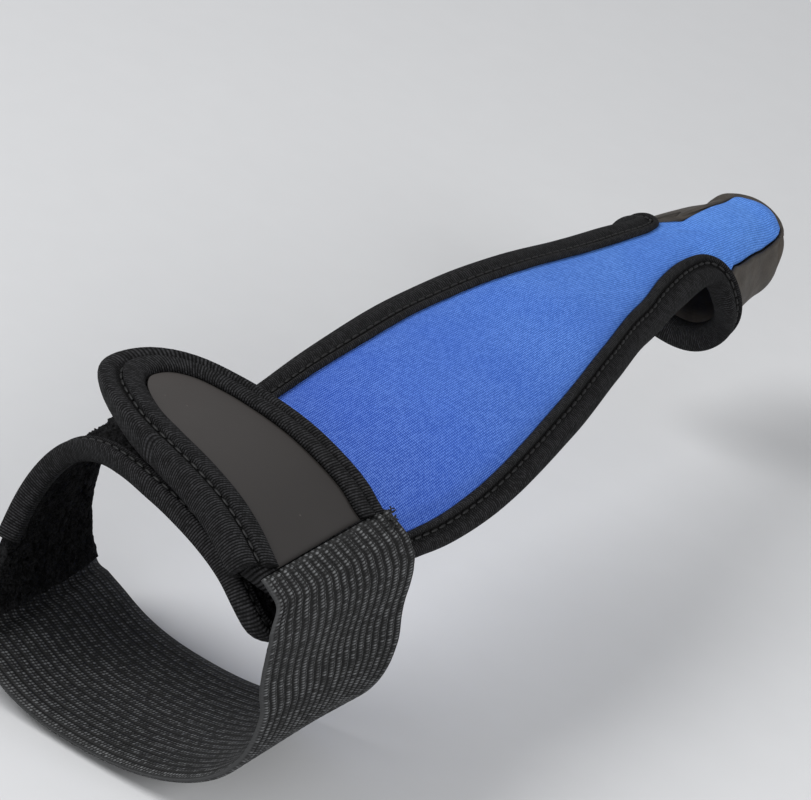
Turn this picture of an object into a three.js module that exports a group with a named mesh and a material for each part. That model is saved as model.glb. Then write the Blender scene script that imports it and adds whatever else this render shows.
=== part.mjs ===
// A single-finger glove for casting and fishing, worn on the left hand.
// A neoprene panel covers the back of the hand and the index finger. Its finger
// stall has a leather underside and tip, a ribbed tape binds its edges, and a wrist
// strap closes with a padded hook-and-loop tab.
//
// Frame, in millimetres: the origin is the centre of the wrist loop, +Y runs from
// the wrist to the fingertip, +Z leaves the back of the hand, +X is the thumb side.

import * as THREE from 'three';

// The form that the glove is held on
const REACH = 178;
const WRIST_HALF_WIDTH = 31.6;
const WRIST_HALF_HEIGHT = 21.4;
const FINGER_RADIUS = 10;
const FINGER_OFFSET = 6.5;
const KNUCKLE_RISE = 12.2;
const TIP_LENGTH = 8;

// Cloth and leather
const PANEL_THICKNESS = 2.3;
const PAD_THICKNESS = 1.6;
const PAD_LIFT = 0.5;
const TAPE_THICKNESS = 0.8;
const HEM_TAPE_THICKNESS = 0.5;
const CLEARANCE = 0.3;

// Tape that binds the panel and the mouth of the stall
const EDGE_WIDTH = 6.5;
const EDGE_LIP = 2.3;
const EDGE_INSERT = 3.8;
const EDGE_STEP = 3;

// Wrist strap
const BAND_THICKNESS = 2;
const BAND_LIFT = 0.5;
const BAND_DISTAL_EDGE = 14;
const BAND_WIDTH = 33;
const HEM_WIDTH = 3;
const HEM_LIP = 1.2;
const HEM_INSERT = 1.6;
const HEM_STEP = 3.5;
const HOOK_THICKNESS = 1.9;
const STRAP_WIDTH = 38;
const STRAP_THICKNESS = 1.4;

// Closing tab
const TAB_WIDTH = 36.5;
const TAB_THICKNESS = 3;
const TAB_EDGE_WIDTH = 5.9;
const TAB_EDGE_LIP = 2.7;
const TAB_EDGE_INSERT = 4.4;
const TAB_EDGE_STEP = 3;
const FACE_THICKNESS = 0.5;
const TIP_STAND_OFF = 9;

// Heights above the form, one layer on the next
const EDGE_TOP = PANEL_THICKNESS + CLEARANCE + TAPE_THICKNESS * 1.1;
const BAND_TOP = BAND_LIFT + BAND_THICKNESS + CLEARANCE;
const HEM_TOP = BAND_TOP + HEM_TAPE_THICKNESS * 1.1;
const HOOK_LIFT = BAND_TOP;
const TAB_LIFT = Math.max(
  HOOK_LIFT + HOOK_THICKNESS + CLEARANCE, Math.max(EDGE_TOP, HEM_TOP) + TAPE_THICKNESS + 2 * CLEARANCE);
const FACE_LIFT = TAB_LIFT + TAB_THICKNESS + CLEARANCE;
const STRAP_TOP_LIFT = TAB_LIFT + TAB_THICKNESS + CLEARANCE;
const STRAP_LOW_LIFT = 0.5;

const degrees = THREE.MathUtils.degToRad;

// Sections of the form. along: share of REACH. offset: share of FINGER_OFFSET.
// rise: share of KNUCKLE_RISE. little, thumb, back, palm: how far each half-size goes
// from the finger's radius (0) to the wrist's half-width or half-height (1).
// square: the exponent of the section, 2 for an ellipse.
const SECTIONS = [
  { along: -0.337, offset: 0, rise: 0, little: 0.718, thumb: 1.065, back: 1.096, palm: 1.096, square: 2.3 },
  { along: -0.14, offset: 0, rise: 0, little: 0.639, thumb: 1, back: 1, palm: 1, square: 2.3 },
  { along: 0, offset: 0, rise: 0, little: 0.639, thumb: 1, back: 1, palm: 1, square: 2.3 },
  { along: 0.14, offset: 0.077, rise: 0.041, little: 0.796, thumb: 1.028, back: 1.053, palm: 1.053, square: 2.3 },
  { along: 0.281, offset: 0.308, rise: 0.246, little: 0.949, thumb: 0.972, back: 1.009, palm: 0.877, square: 2.2 },
  { along: 0.404, offset: 0.538, rise: 0.533, little: 0.88, thumb: 0.741, back: 0.789, palm: 0.702, square: 2.15 },
  { along: 0.517, offset: 0.769, rise: 0.861, little: 0.671, thumb: 0.417, back: 0.526, palm: 0.439, square: 2.1 },
  { along: 0.618, offset: 0.892, rise: 1, little: 0.37, thumb: 0.139, back: 0.237, palm: 0.263, square: 2.1 },
  { along: 0.719, offset: 0.938, rise: 0.967, little: 0.231, thumb: 0.028, back: 0.105, palm: 0.132, square: 2.1 },
  { along: 0.815, offset: 0.969, rise: 0.885, little: 0.116, thumb: 0, back: 0.026, palm: 0.132, square: 2.1 },
  { along: 0.854, offset: 0.977, rise: 0.836, little: 0.083, thumb: -0.046, back: 0.026, palm: 0.035, square: 2.1 },
  { along: 0.899, offset: 0.985, rise: 0.787, little: 0.037, thumb: -0.139, back: 0.009, palm: -0.246, square: 2.1 },
  { along: 0.955, offset: 1, rise: 0.721, little: -0.023, thumb: -0.199, back: -0.035, palm: -0.439, square: 2.1 },
];

// The line where the blue cloth meets the inner lip of its tape, from the wrist on
// the thumb side, round the mouth of the stall and back to the wrist.
// along: share of the way from the panel's start to the pole of the fingertip. around: degrees
// from the back of the hand towards the thumb. width: share of EDGE_WIDTH.
const LIP_LINE = [
  { along: 0, around: 48.9, width: 0.68 },
  { along: 0.046, around: 49.7, width: 0.7 },
  { along: 0.096, around: 50.4, width: 0.78 },
  { along: 0.168, around: 49.7, width: 0.88 },
  { along: 0.25, around: 47.1, width: 0.95 },
  { along: 0.347, around: 45.5, width: 1 },
  { along: 0.453, around: 44.7, width: 1 },
  { along: 0.532, around: 43, width: 1 },
  { along: 0.592, around: 39.8, width: 1 },
  { along: 0.645, around: 32.4, width: 1 },
  { along: 0.702, around: 27, width: 1 },
  { along: 0.747, around: 28, width: 1 },
  { along: 0.769, around: 36, width: 0.95 },
  { along: 0.784, around: 49.5, width: 0.95 },
  { along: 0.796, around: 66, width: 1 },
  { along: 0.81, around: 82, width: 1 },
  { along: 0.822, around: 97, width: 1 },
  { along: 0.83, around: 116, width: 1 },
  { along: 0.834, around: 142, width: 1 },
  { along: 0.836, around: 175, width: 1 },
  { along: 0.833, around: 210, width: 1 },
  { along: 0.824, around: 245, width: 1 },
  { along: 0.811, around: 275, width: 1 },
  { along: 0.796, around: 300, width: 1 },
  { along: 0.783, around: 318, width: 0.95 },
  { along: 0.771, around: 333, width: 0.87 },
  { along: 0.753, around: 345, width: 0.85 },
  { along: 0.719, around: 350.6, width: 0.95 },
  { along: 0.652, around: 351.5, width: 1 },
  { along: 0.553, around: 351.1, width: 1 },
  { along: 0.463, around: 351.4, width: 1 },
  { along: 0.387, around: 350.1, width: 1 },
  { along: 0.308, around: 349.9, width: 0.95 },
  { along: 0.219, around: 351.8, width: 0.9 },
  { along: 0.133, around: 352.7, width: 0.78 },
  { along: 0.062, around: 354.4, width: 0.7 },
  { along: 0, around: 355.7, width: 0.68 },
];
// Where the side seams of the stall start on that line, degrees around
const THUMB_CORNER = 49.5;
const LITTLE_CORNER = 341;

// Seams between the blue cloth and the leather, beyond the mouth of the stall
const THUMB_SEAM = [
  { along: 0.808, around: 48.8 },
  { along: 0.854, around: 52.3 },
  { along: 0.9, around: 54 },
  { along: 0.94, around: 51 },
];
const LITTLE_SEAM = [
  { along: 0.79, around: -12.9 },
  { along: 0.83, around: -16.2 },
  { along: 0.889, around: -21 },
  { along: 0.932, around: -26 },
];
// Far end of the blue cloth. across: share from the little side to the thumb side.
const END_EDGE = [
  { across: 0, along: 0.932 },
  { across: 0.08, along: 0.941 },
  { across: 0.215, along: 0.951 },
  { across: 0.42, along: 0.961 },
  { across: 0.6, along: 0.963 },
  { across: 0.85, along: 0.957 },
  { across: 1, along: 0.94 },
];

// Inner lip of the hem on the loop band, along its near edge and round its end.
// near: share of BAND_WIDTH back from the band's far edge.
const HEM_LINE = [
  { near: 0.88, around: -128 },
  { near: 0.63, around: -90 },
  { near: 0.535, around: -55 },
  { near: 0.626, around: -29 },
  { near: 0.69, around: -16.5 },
  { near: 0.747, around: -4 },
  { near: 0.789, around: 6 },
  { near: 0.829, around: 15 },
  { near: 0.868, around: 25 },
  { near: 0.905, around: 35 },
  { near: 0.945, around: 45 },
  { near: 0.945, around: 51 },
  { near: 0.88, around: 54.2 },
  { near: 0.7, around: 54.6 },
  { near: 0.4, around: 54.6 },
  { near: 0.02, around: 54.6 },
];
const HEM_START = -100;

// Where the strap's end is sewn across the tab, and the gap before it, degrees around
const SEAM_ANGLE = 40;
const SEAM_GAP = 0.6;
// Inner lip of the closing tab's tape, from the seam round the tip to the seam.
// along: share of TAB_WIDTH from the wrist's centre.
const TAB_LIP_LINE = [
  { along: 0.193, around: SEAM_ANGLE - SEAM_GAP },
  { along: 0.193, around: 37 },
  { along: 0.217, around: 31 },
  { along: 0.234, around: 22.5 },
  { along: 0.257, around: 12 },
  { along: 0.271, around: 2 },
  { along: 0.278, around: -8 },
  { along: 0.258, around: -16.6 },
  { along: 0.203, around: -22.4 },
  { along: 0.105, around: -25 },
  { along: 0.036, around: -23.6 },
  { along: -0.03, around: -20 },
  { along: -0.12, around: -11.5 },
  { along: -0.18, around: -2.2 },
  { along: -0.225, around: 5 },
  { along: -0.28, around: 14 },
  { along: -0.328, around: 22 },
  { along: -0.384, around: 30 },
  { along: -0.428, around: 36 },
  { along: -0.448, around: SEAM_ANGLE - SEAM_GAP },
];
const TAB_END_ANGLE = 45.5;
const TIP_RISE_START = -5;
const TIP_RISE_END = -70;
const HOOK_INSET = 1.5;

// Elastic strap, from its folded end on the tab, round the thumb side and the palm.
// centre and half: shares of STRAP_WIDTH. drop: 0 on the tab, 1 on the tape of the
// panel, 2 on the wrist.
const STRAP_ROWS = [
  { around: SEAM_ANGLE, centre: -0.137, half: 0.479, drop: 0 },
  { around: 46.5, centre: -0.108, half: 0.47, drop: 0 },
  { around: 51, centre: -0.09, half: 0.485, drop: 0.25 },
  { around: 55, centre: -0.072, half: 0.495, drop: 0.53 },
  { around: 60, centre: -0.063, half: 0.5, drop: 0.95 },
  { around: 64, centre: -0.06, half: 0.5, drop: 1.25 },
  { around: 69, centre: -0.057, half: 0.497, drop: 1.7 },
  { around: 76, centre: -0.048, half: 0.497, drop: 1.92 },
  { around: 90, centre: -0.02, half: 0.495, drop: 2 },
  { around: 120, centre: -0.02, half: 0.495, drop: 2 },
  { around: 180, centre: -0.04, half: 0.5, drop: 2 },
  { around: 251, centre: -0.055, half: 0.5, drop: 2 },
];
const LAP_START = 222;
const LAP_END = 230.5;

// Smooth value of one column at a position, rising along the key column
function columnAt(rows, key, column, at) {
  const last = rows.length - 1;
  const place = Math.min(Math.max(at, Math.min(rows[0][key], rows[last][key])),
    Math.max(rows[0][key], rows[last][key]));
  const falling = rows[0][key] > rows[last][key];
  let row = 0;
  while (row < last - 1 && (falling ? rows[row + 1][key] > place : rows[row + 1][key] < place)) row += 1;
  const slope = (index) => {
    if (index === 0 || index === last) return 0;
    const before = (rows[index][column] - rows[index - 1][column]) / (rows[index][key] - rows[index - 1][key]);
    const after = (rows[index + 1][column] - rows[index][column]) / (rows[index + 1][key] - rows[index][key]);
    return before * after > 0 ? 2 * before * after / (before + after) : 0;
  };
  const span = rows[row + 1][key] - rows[row][key];
  const share = (place - rows[row][key]) / span;
  const squared = share * share;
  const cubed = squared * share;
  return rows[row][column] * (2 * cubed - 3 * squared + 1)
    + rows[row + 1][column] * (3 * squared - 2 * cubed)
    + slope(row) * span * (cubed - 2 * squared + share)
    + slope(row + 1) * span * (cubed - squared);
}

// Point of the form at a place along it and an angle around it, raised by lift.
// Past the start of the fingertip, along runs over the rounded tip to its pole.
const TIP_START = REACH - TIP_LENGTH;
const POLE = TIP_START + TIP_LENGTH * Math.PI / 2;
function formPoint(along, around, lift) {
  const station = Math.min(along, TIP_START) / REACH;
  const turn = Math.PI / 2 * Math.min(Math.max(along - TIP_START, 0) / (POLE - TIP_START), 1);
  const at = (column) => columnAt(SECTIONS, 'along', column, station);
  const sine = Math.sin(around);
  const cosine = Math.cos(around);
  const side = THREE.MathUtils.lerp(FINGER_RADIUS, WRIST_HALF_WIDTH, at(sine > 0 ? 'thumb' : 'little'));
  const height = THREE.MathUtils.lerp(FINGER_RADIUS, WRIST_HALF_HEIGHT, at(cosine > 0 ? 'back' : 'palm'));
  const square = at('square');
  const spread = (Math.abs(sine) ** square + Math.abs(cosine) ** square) ** (-1 / square) * Math.cos(turn);
  return new THREE.Vector3(
    FINGER_OFFSET * at('offset') + (side + lift) * sine * spread,
    Math.min(along, TIP_START) + (TIP_LENGTH + lift) * Math.sin(turn),
    KNUCKLE_RISE * at('rise') + (height + lift) * cosine * spread,
  );
}

// Millimetres on the form per millimetre along and per radian around
function formScale(along, around) {
  const step = 0.01;
  const origin = formPoint(along, around, 1);
  return {
    along: formPoint(along + 1, around, 1).distanceTo(origin),
    around: formPoint(along, around + step, 1).distanceTo(origin) / step,
  };
}

// A place on the form is { along, around }, in millimetres and radians.
// A place of a line moved sideways on the form by a share of the line's width there,
// away from the cloth that the line bounds for a positive distance.
function sideways(line, index, distance) {
  const moved = distance * line[index].width;
  const before = line[Math.max(index - 1, 0)];
  const after = line[Math.min(index + 1, line.length - 1)];
  const scale = formScale(line[index].along, line[index].around);
  const run = (after.along - before.along) * scale.along;
  const turn = (after.around - before.around) * scale.around;
  const length = Math.hypot(run, turn);
  return {
    along: line[index].along - moved * turn / length / scale.along,
    around: line[index].around + moved * run / length / scale.around,
  };
}

// Evenly spaced places on a smooth curve through a list of places
function smoothLine(rows, step) {
  const girth = (WRIST_HALF_WIDTH + FINGER_RADIUS) / 2;
  const curve = new THREE.CatmullRomCurve3(
    rows.map((row) => new THREE.Vector3(row.along, row.around * girth, row.width ?? 1)), false, 'centripetal');
  curve.arcLengthDivisions = rows.length * 20;
  const count = Math.round(curve.getLength() / step);
  return curve.getSpacedPoints(count)
    .map((point) => ({ along: point.x, around: point.y / girth, width: point.z }));
}

// Closed solid between two heights over a patch of the form. The patch is a list of
// places and a list of faces whose corners run the same way round.
function sheetSolid(patch, inner, outer) {
  const points = [];
  const placed = new Map();
  const index = patch.places.map((place) => {
    const key = formPoint(place.along, place.around, 0).toArray().map((value) => value.toFixed(3)).join();
    if (!placed.has(key)) placed.set(key, points.push(place) - 1);
    return placed.get(key);
  });
  const faces = patch.faces
    .map((face) => face.map((corner) => index[corner]).filter((corner, at, all) => all.indexOf(corner) === at))
    .filter((face) => face.length > 2)
    .flatMap((face) => (face.length === 4
      ? [[face[0], face[1], face[2]], [face[0], face[2], face[3]]] : [face]));
  const total = points.length;
  const triangles = [];
  const edges = new Map();
  for (const [a, b, c] of faces) {
    triangles.push([a, b, c], [total + a, total + c, total + b]);
    for (const [from, to] of [[a, b], [b, c], [c, a]]) {
      if (!edges.delete(`${to},${from}`)) edges.set(`${from},${to}`, [from, to]);
    }
  }
  for (const [from, to] of edges.values()) {
    triangles.push([to, from, total + from], [to, total + from, total + to]);
  }
  const height = (lift, place) => (typeof lift === 'function' ? lift(place) : lift);
  const corners = [outer, inner].flatMap((lift) => points.map(
    (place) => formPoint(place.along, place.around, height(lift, place))));
  return solidGeometry(corners, triangles);
}

// Indexed geometry from corners and triangles, faces turned outward
function solidGeometry(corners, triangles) {
  let volume = 0;
  for (const [a, b, c] of triangles) {
    volume += corners[a].dot(new THREE.Vector3().crossVectors(corners[b], corners[c]));
  }
  const geometry = new THREE.BufferGeometry().setFromPoints(corners);
  geometry.setIndex(triangles.flatMap(([a, b, c]) => (volume > 0 ? [a, b, c] : [a, c, b])));
  geometry.computeVertexNormals();
  return geometry;
}

// Faces of a grid of rows and columns of places
function gridPatch(rows) {
  const columns = rows[0].length;
  const faces = [];
  for (let row = 0; row + 1 < rows.length; row += 1) {
    for (let column = 0; column + 1 < columns; column += 1) {
      const corner = row * columns + column;
      faces.push([corner, corner + 1, corner + columns + 1, corner + columns]);
    }
  }
  return { places: rows.flat(), faces };
}

// Tape folded over the edge of a cloth: an outline in steps across (positive outward
// from the inner lip) and up, round a slot that takes the cloth's edge.
function tapeProfile({ tape, cloth, under, lip, width, insert, back }) {
  const top = under + cloth + CLEARANCE;
  const bottom = under - CLEARANCE;
  const slot = insert + CLEARANCE;
  const rollTop = top + tape;
  const rollBottom = bottom - tape;
  const middle = (rollTop + rollBottom) / 2;
  const round = Math.min((width - slot) * 0.5, (rollTop - rollBottom) * 0.4);
  return [
    [0, top],
    [0, top + tape * 0.6],
    [lip * 0.25, rollTop],
    [lip * 0.75, rollTop],
    [lip, top + tape * 0.45],
    [lip + (width - lip) * 0.15, rollTop - tape * 0.1],
    [lip + (width - lip) * 0.4, rollTop + tape * 0.1],
    [width - round, rollTop - tape * 0.15],
    [width, middle + (rollTop - middle) * 0.35],
    [width, middle - (middle - rollBottom) * 0.35],
    [width - round, rollBottom],
    [back, rollBottom],
    [back, bottom],
    [slot, bottom],
    [slot, top],
  ];
}

// Solid of a profile carried along a line of places. raise lifts each place.
function tapeSolid(line, profile, raise = () => 0) {
  const corners = [];
  line.forEach((_, index) => {
    for (const [across, up] of profile) {
      const spot = sideways(line, index, across);
      corners.push(formPoint(spot.along, spot.around, up + raise(spot)));
    }
  });
  const count = profile.length;
  const triangles = [];
  for (let row = 0; row + 1 < line.length; row += 1) {
    for (let step = 0; step < count; step += 1) {
      const here = row * count + step;
      const next = row * count + (step + 1) % count;
      triangles.push([here, next, next + count], [here, next + count, here + count]);
    }
  }
  const outline = profile.map(([across, up]) => new THREE.Vector2(across, up));
  const end = (line.length - 1) * count;
  const area = (loop) => Math.sign(THREE.ShapeUtils.area(loop));
  for (const cap of THREE.ShapeUtils.triangulateShape(outline, [])) {
    const follows = area(cap.map((corner) => outline[corner])) === area(outline);
    const [a, b, c] = follows ? cap : [cap[0], cap[2], cap[1]];
    triangles.push([a, c, b], [end + a, end + b, end + c]);
  }
  return solidGeometry(corners, triangles);
}

// Angle around of a chain of places at a distance along
function angleAt(chain, along) {
  let index = 0;
  while (index < chain.length - 2 && chain[index + 1].along < along) index += 1;
  const share = (along - chain[index].along) / (chain[index + 1].along - chain[index].along);
  return THREE.MathUtils.lerp(chain[index].around, chain[index + 1].around, THREE.MathUtils.clamp(share, 0, 1));
}

// Rows of places across a tongue-shaped outline, from its open end to its tip
function ladderRows(outline, columns) {
  const rows = [];
  for (let index = 0; index < Math.ceil(outline.length / 2); index += 1) {
    const far = outline[index];
    const near = outline[outline.length - 1 - index];
    rows.push(Array.from({ length: columns + 1 }, (_, column) => ({
      along: THREE.MathUtils.lerp(far.along, near.along, column / columns),
      around: THREE.MathUtils.lerp(far.around, near.around, column / columns),
    })));
  }
  return rows;
}

const PANEL_START = BAND_DISTAL_EDGE + CLEARANCE;
const panelPlace = (row) => ({
  along: THREE.MathUtils.lerp(PANEL_START, POLE, row.along),
  around: degrees(row.around),
  width: row.width,
});
const TURN = 2 * Math.PI;

// Edge tape, and the edges of cloth and leather that its slot holds
const lipLine = smoothLine(LIP_LINE.map(panelPlace), EDGE_STEP);
const heldEdge = lipLine.map((place, index) => sideways(lipLine, index, EDGE_INSERT));
const thumbCorner = lipLine.findIndex((place) => place.along > REACH / 2 && place.around > degrees(THUMB_CORNER));
const littleCorner = lipLine.findIndex((place) => place.around > degrees(LITTLE_CORNER));
const thumbChain = [...heldEdge.slice(0, thumbCorner + 1), ...THUMB_SEAM.map(panelPlace)];
const littleChain = [
  ...heldEdge.slice(littleCorner).reverse().map((place) => ({ along: place.along, around: place.around - TURN })),
  ...LITTLE_SEAM.map(panelPlace),
];

function edgeBinding() {
  return tapeSolid(lipLine, tapeProfile({
    tape: TAPE_THICKNESS,
    cloth: PANEL_THICKNESS,
    under: 0,
    lip: EDGE_LIP,
    width: EDGE_WIDTH,
    insert: EDGE_INSERT,
    back: EDGE_LIP * 0.6,
  }));
}

// Blue cloth: rows are closer together where the tape turns round the stall's mouth
function backPanel() {
  const columns = 8;
  const rows = [];
  const endAlong = (across) => THREE.MathUtils.lerp(
    PANEL_START, POLE, columnAt(END_EDGE, 'across', 'along', across));
  const shares = [];
  for (let share = 0; share < 1; share += share > 0.72 && share < 0.86 ? 0.009 : 0.033) shares.push(share);
  for (const share of [...shares, 1]) {
    rows.push(Array.from({ length: columns + 1 }, (_, column) => {
      const across = column / columns;
      const along = THREE.MathUtils.lerp(PANEL_START, endAlong(across), share);
      return {
        along,
        around: THREE.MathUtils.lerp(angleAt(littleChain, along), angleAt(thumbChain, along), across),
      };
    }));
  }
  return sheetSolid(gridPatch(rows), 0, PANEL_THICKNESS);
}

// Leather stall: open rows from the mouth to the end of the blue cloth, then closed
// rings over the fingertip to its pole
function fingerPad() {
  const columns = 20;
  const openRows = 6;
  const gap = (along, around) => CLEARANCE / formScale(along, around).around;
  const mouth = heldEdge.slice(thumbCorner, littleCorner + 1);
  const thumbEnd = panelPlace(THUMB_SEAM.at(-1)).along;
  const littleEnd = panelPlace(LITTLE_SEAM.at(-1)).along;
  const alongAt = (around) => {
    const index = THREE.MathUtils.clamp(
      mouth.findIndex((place) => place.around > around), 1, mouth.length - 1);
    const share = (around - mouth[index - 1].around) / (mouth[index].around - mouth[index - 1].around);
    return THREE.MathUtils.lerp(mouth[index - 1].along, mouth[index].along, THREE.MathUtils.clamp(share, 0, 1));
  };
  const rows = [];
  for (let row = 0; row <= openRows; row += 1) {
    rows.push(Array.from({ length: columns + 1 }, (_, column) => {
      const across = column / columns;
      const start = alongAt(THREE.MathUtils.lerp(mouth[0].around, mouth.at(-1).around, across));
      const along = THREE.MathUtils.lerp(start, THREE.MathUtils.lerp(thumbEnd, littleEnd, across), row / openRows);
      const thumb = angleAt(thumbChain, along);
      const little = angleAt(littleChain, along) + TURN;
      return {
        along,
        around: THREE.MathUtils.lerp(thumb + gap(along, thumb), little - gap(along, little), across),
      };
    }));
  }
  const patch = gridPatch(rows);
  const endColumns = 6;
  const overEnd = Array.from({ length: endColumns - 1 }, (_, step) => {
    const across = (step + 1) / endColumns;
    return {
      along: CLEARANCE + THREE.MathUtils.lerp(PANEL_START, POLE, columnAt(END_EDGE, 'across', 'along', across)),
      around: THREE.MathUtils.lerp(degrees(LITTLE_SEAM.at(-1).around), degrees(THUMB_SEAM.at(-1).around), across)
        + TURN,
    };
  });
  const ring = [...rows.at(-1), ...overEnd];
  const rings = 6;
  const first = patch.places.length - (columns + 1);
  const size = ring.length;
  patch.places.push(...overEnd);
  for (let row = 1; row <= rings; row += 1) {
    for (const place of ring) {
      patch.places.push({ along: THREE.MathUtils.lerp(place.along, POLE, row / rings), around: place.around });
    }
    for (let step = 0; step < size; step += 1) {
      const here = first + (row - 1) * size + step;
      const next = first + (row - 1) * size + (step + 1) % size;
      patch.faces.push([here, next, next + size, here + size]);
    }
  }
  return sheetSolid(patch, PAD_LIFT, PAD_LIFT + PAD_THICKNESS);
}

// Loop band across the back of the wrist, and the hem on its near edge and end
const hemPlaces = smoothLine(HEM_LINE.map((row) => ({
  along: BAND_DISTAL_EDGE - row.near * BAND_WIDTH, around: degrees(row.around),
})), HEM_STEP);

function loopBand() {
  const columns = 6;
  const edge = hemPlaces.map((place, index) => sideways(hemPlaces, index, HEM_INSERT));
  const rows = [];
  for (const place of edge) {
    if (rows.length && place.around <= rows.at(-1)[0].around + degrees(0.3)) continue;
    rows.push(Array.from({ length: columns + 1 }, (_, column) => ({
      along: THREE.MathUtils.lerp(place.along, BAND_DISTAL_EDGE, column / columns), around: place.around,
    })));
  }
  return sheetSolid(gridPatch(rows), BAND_LIFT, BAND_LIFT + BAND_THICKNESS);
}

function bandBinding() {
  const line = hemPlaces.filter((place) => place.around > degrees(HEM_START));
  return tapeSolid(line, tapeProfile({
    tape: HEM_TAPE_THICKNESS,
    cloth: BAND_THICKNESS,
    under: BAND_LIFT,
    lip: HEM_LIP,
    width: HEM_WIDTH,
    insert: HEM_INSERT,
    back: HEM_LIP * 0.5,
  }));
}

// Closing tab: its tip stands off the wrist
const tipRise = (place) => TIP_STAND_OFF
  * THREE.MathUtils.smoothstep(-place.around, -degrees(TIP_RISE_START), -degrees(TIP_RISE_END));
const tabLine = smoothLine(TAB_LIP_LINE.map((row) => ({
  along: row.along * TAB_WIDTH, around: degrees(row.around),
})), TAB_EDGE_STEP);
tabLine[1].along = tabLine[0].along;
tabLine.at(-2).along = tabLine.at(-1).along;
const tabOutline = (distance) => tabLine.map((place, index) => sideways(tabLine, index, distance));

function tongue(outline, under, thickness) {
  return sheetSolid(
    gridPatch(ladderRows(outline, 8)),
    (place) => under + tipRise(place),
    (place) => under + thickness + tipRise(place),
  );
}

function closureTab() {
  const outline = tabOutline(TAB_EDGE_INSERT);
  const ends = [outline[0], outline.at(-1)].map(({ along }) => ({ along, around: degrees(TAB_END_ANGLE) }));
  return tongue([ends[0], ...outline, ends[1]], TAB_LIFT, TAB_THICKNESS);
}

function tabBinding() {
  return tapeSolid(tabLine, tapeProfile({
    tape: TAPE_THICKNESS,
    cloth: TAB_THICKNESS,
    under: TAB_LIFT,
    lip: TAB_EDGE_LIP,
    width: TAB_EDGE_WIDTH,
    insert: TAB_EDGE_INSERT,
    back: TAB_EDGE_LIP,
  }), tipRise);
}

const tabFace = () => tongue(tabOutline(-CLEARANCE), FACE_LIFT, FACE_THICKNESS);
const hookPatch = () => tongue(tabOutline(-HOOK_INSET), HOOK_LIFT, HOOK_THICKNESS);

// Elastic strap: it steps down from the tab over the panel's tape to the wrist, and
// laps over the little-finger end of the loop band
function elasticStrap() {
  const overTape = Math.max(EDGE_TOP, HEM_TOP) + CLEARANCE;
  const lift = (place) => {
    const angle = THREE.MathUtils.radToDeg(place.around);
    const drop = columnAt(STRAP_ROWS, 'around', 'drop', angle);
    const onTape = THREE.MathUtils.lerp(STRAP_TOP_LIFT, overTape, Math.min(drop, 1));
    const fall = THREE.MathUtils.lerp(onTape, STRAP_LOW_LIFT, Math.max(drop - 1, 0));
    const lap = THREE.MathUtils.smoothstep(angle, LAP_START, LAP_END);
    return THREE.MathUtils.lerp(fall, BAND_TOP, lap);
  };
  const columns = 4;
  const rows = [];
  const first = STRAP_ROWS[0].around;
  const last = STRAP_ROWS.at(-1).around;
  for (let angle = first; angle < last; angle += angle < 80 || angle > LAP_START - 2 ? 2.5 : 7) {
    rows.push(angle);
  }
  const patch = gridPatch([...rows, last].map((angle) => {
    const centre = columnAt(STRAP_ROWS, 'around', 'centre', angle) * STRAP_WIDTH;
    const half = columnAt(STRAP_ROWS, 'around', 'half', angle) * STRAP_WIDTH;
    return Array.from({ length: columns + 1 }, (_, column) => ({
      along: THREE.MathUtils.lerp(centre - half, centre + half, column / columns),
      around: degrees(angle),
    }));
  }));
  return sheetSolid(patch, lift, (place) => lift(place) + STRAP_THICKNESS);
}

const cloth = (colour, roughness) => new THREE.MeshStandardMaterial({ color: colour, roughness, metalness: 0 });
const blueCloth = cloth(0x2f5fd0, 0.9);
const leather = cloth(0x4a443d, 0.85);
const blackTape = cloth(0x17171a, 0.85);
const loopPile = cloth(0x1b1a19, 0.95);
const blackElastic = cloth(0x1d1d1f, 0.8);
const padFabric = cloth(0x1a1a1c, 0.9);
const greyRubber = cloth(0x3c3b3a, 0.5);
const hookTape = cloth(0x141414, 0.8);

const glove = new THREE.Group();
glove.name = 'single_finger_glove';
const pieces = [
  ['back_panel', backPanel(), blueCloth],
  ['finger_pad', fingerPad(), leather],
  ['edge_binding', edgeBinding(), blackTape],
  ['loop_band', loopBand(), loopPile],
  ['band_binding', bandBinding(), blackTape],
  ['hook_patch', hookPatch(), hookTape],
  ['closure_tab', closureTab(), padFabric],
  ['tab_face', tabFace(), greyRubber],
  ['tab_binding', tabBinding(), blackTape],
  ['elastic_strap', elasticStrap(), blackElastic],
];
for (const [name, geometry, material] of pieces) {
  const mesh = new THREE.Mesh(geometry, material);
  mesh.name = name;
  glove.add(mesh);
}

export default glove;
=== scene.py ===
# Dress the frame of the single-finger glove: cloth, leather, tapes, elastic and light
import math

import bmesh
import bpy
import numpy as np
from bpy.props import FloatProperty, FloatVectorProperty, IntProperty, PointerProperty
from bpy.types import Operator, Panel, PropertyGroup
from mathutils import Matrix, Vector


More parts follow.
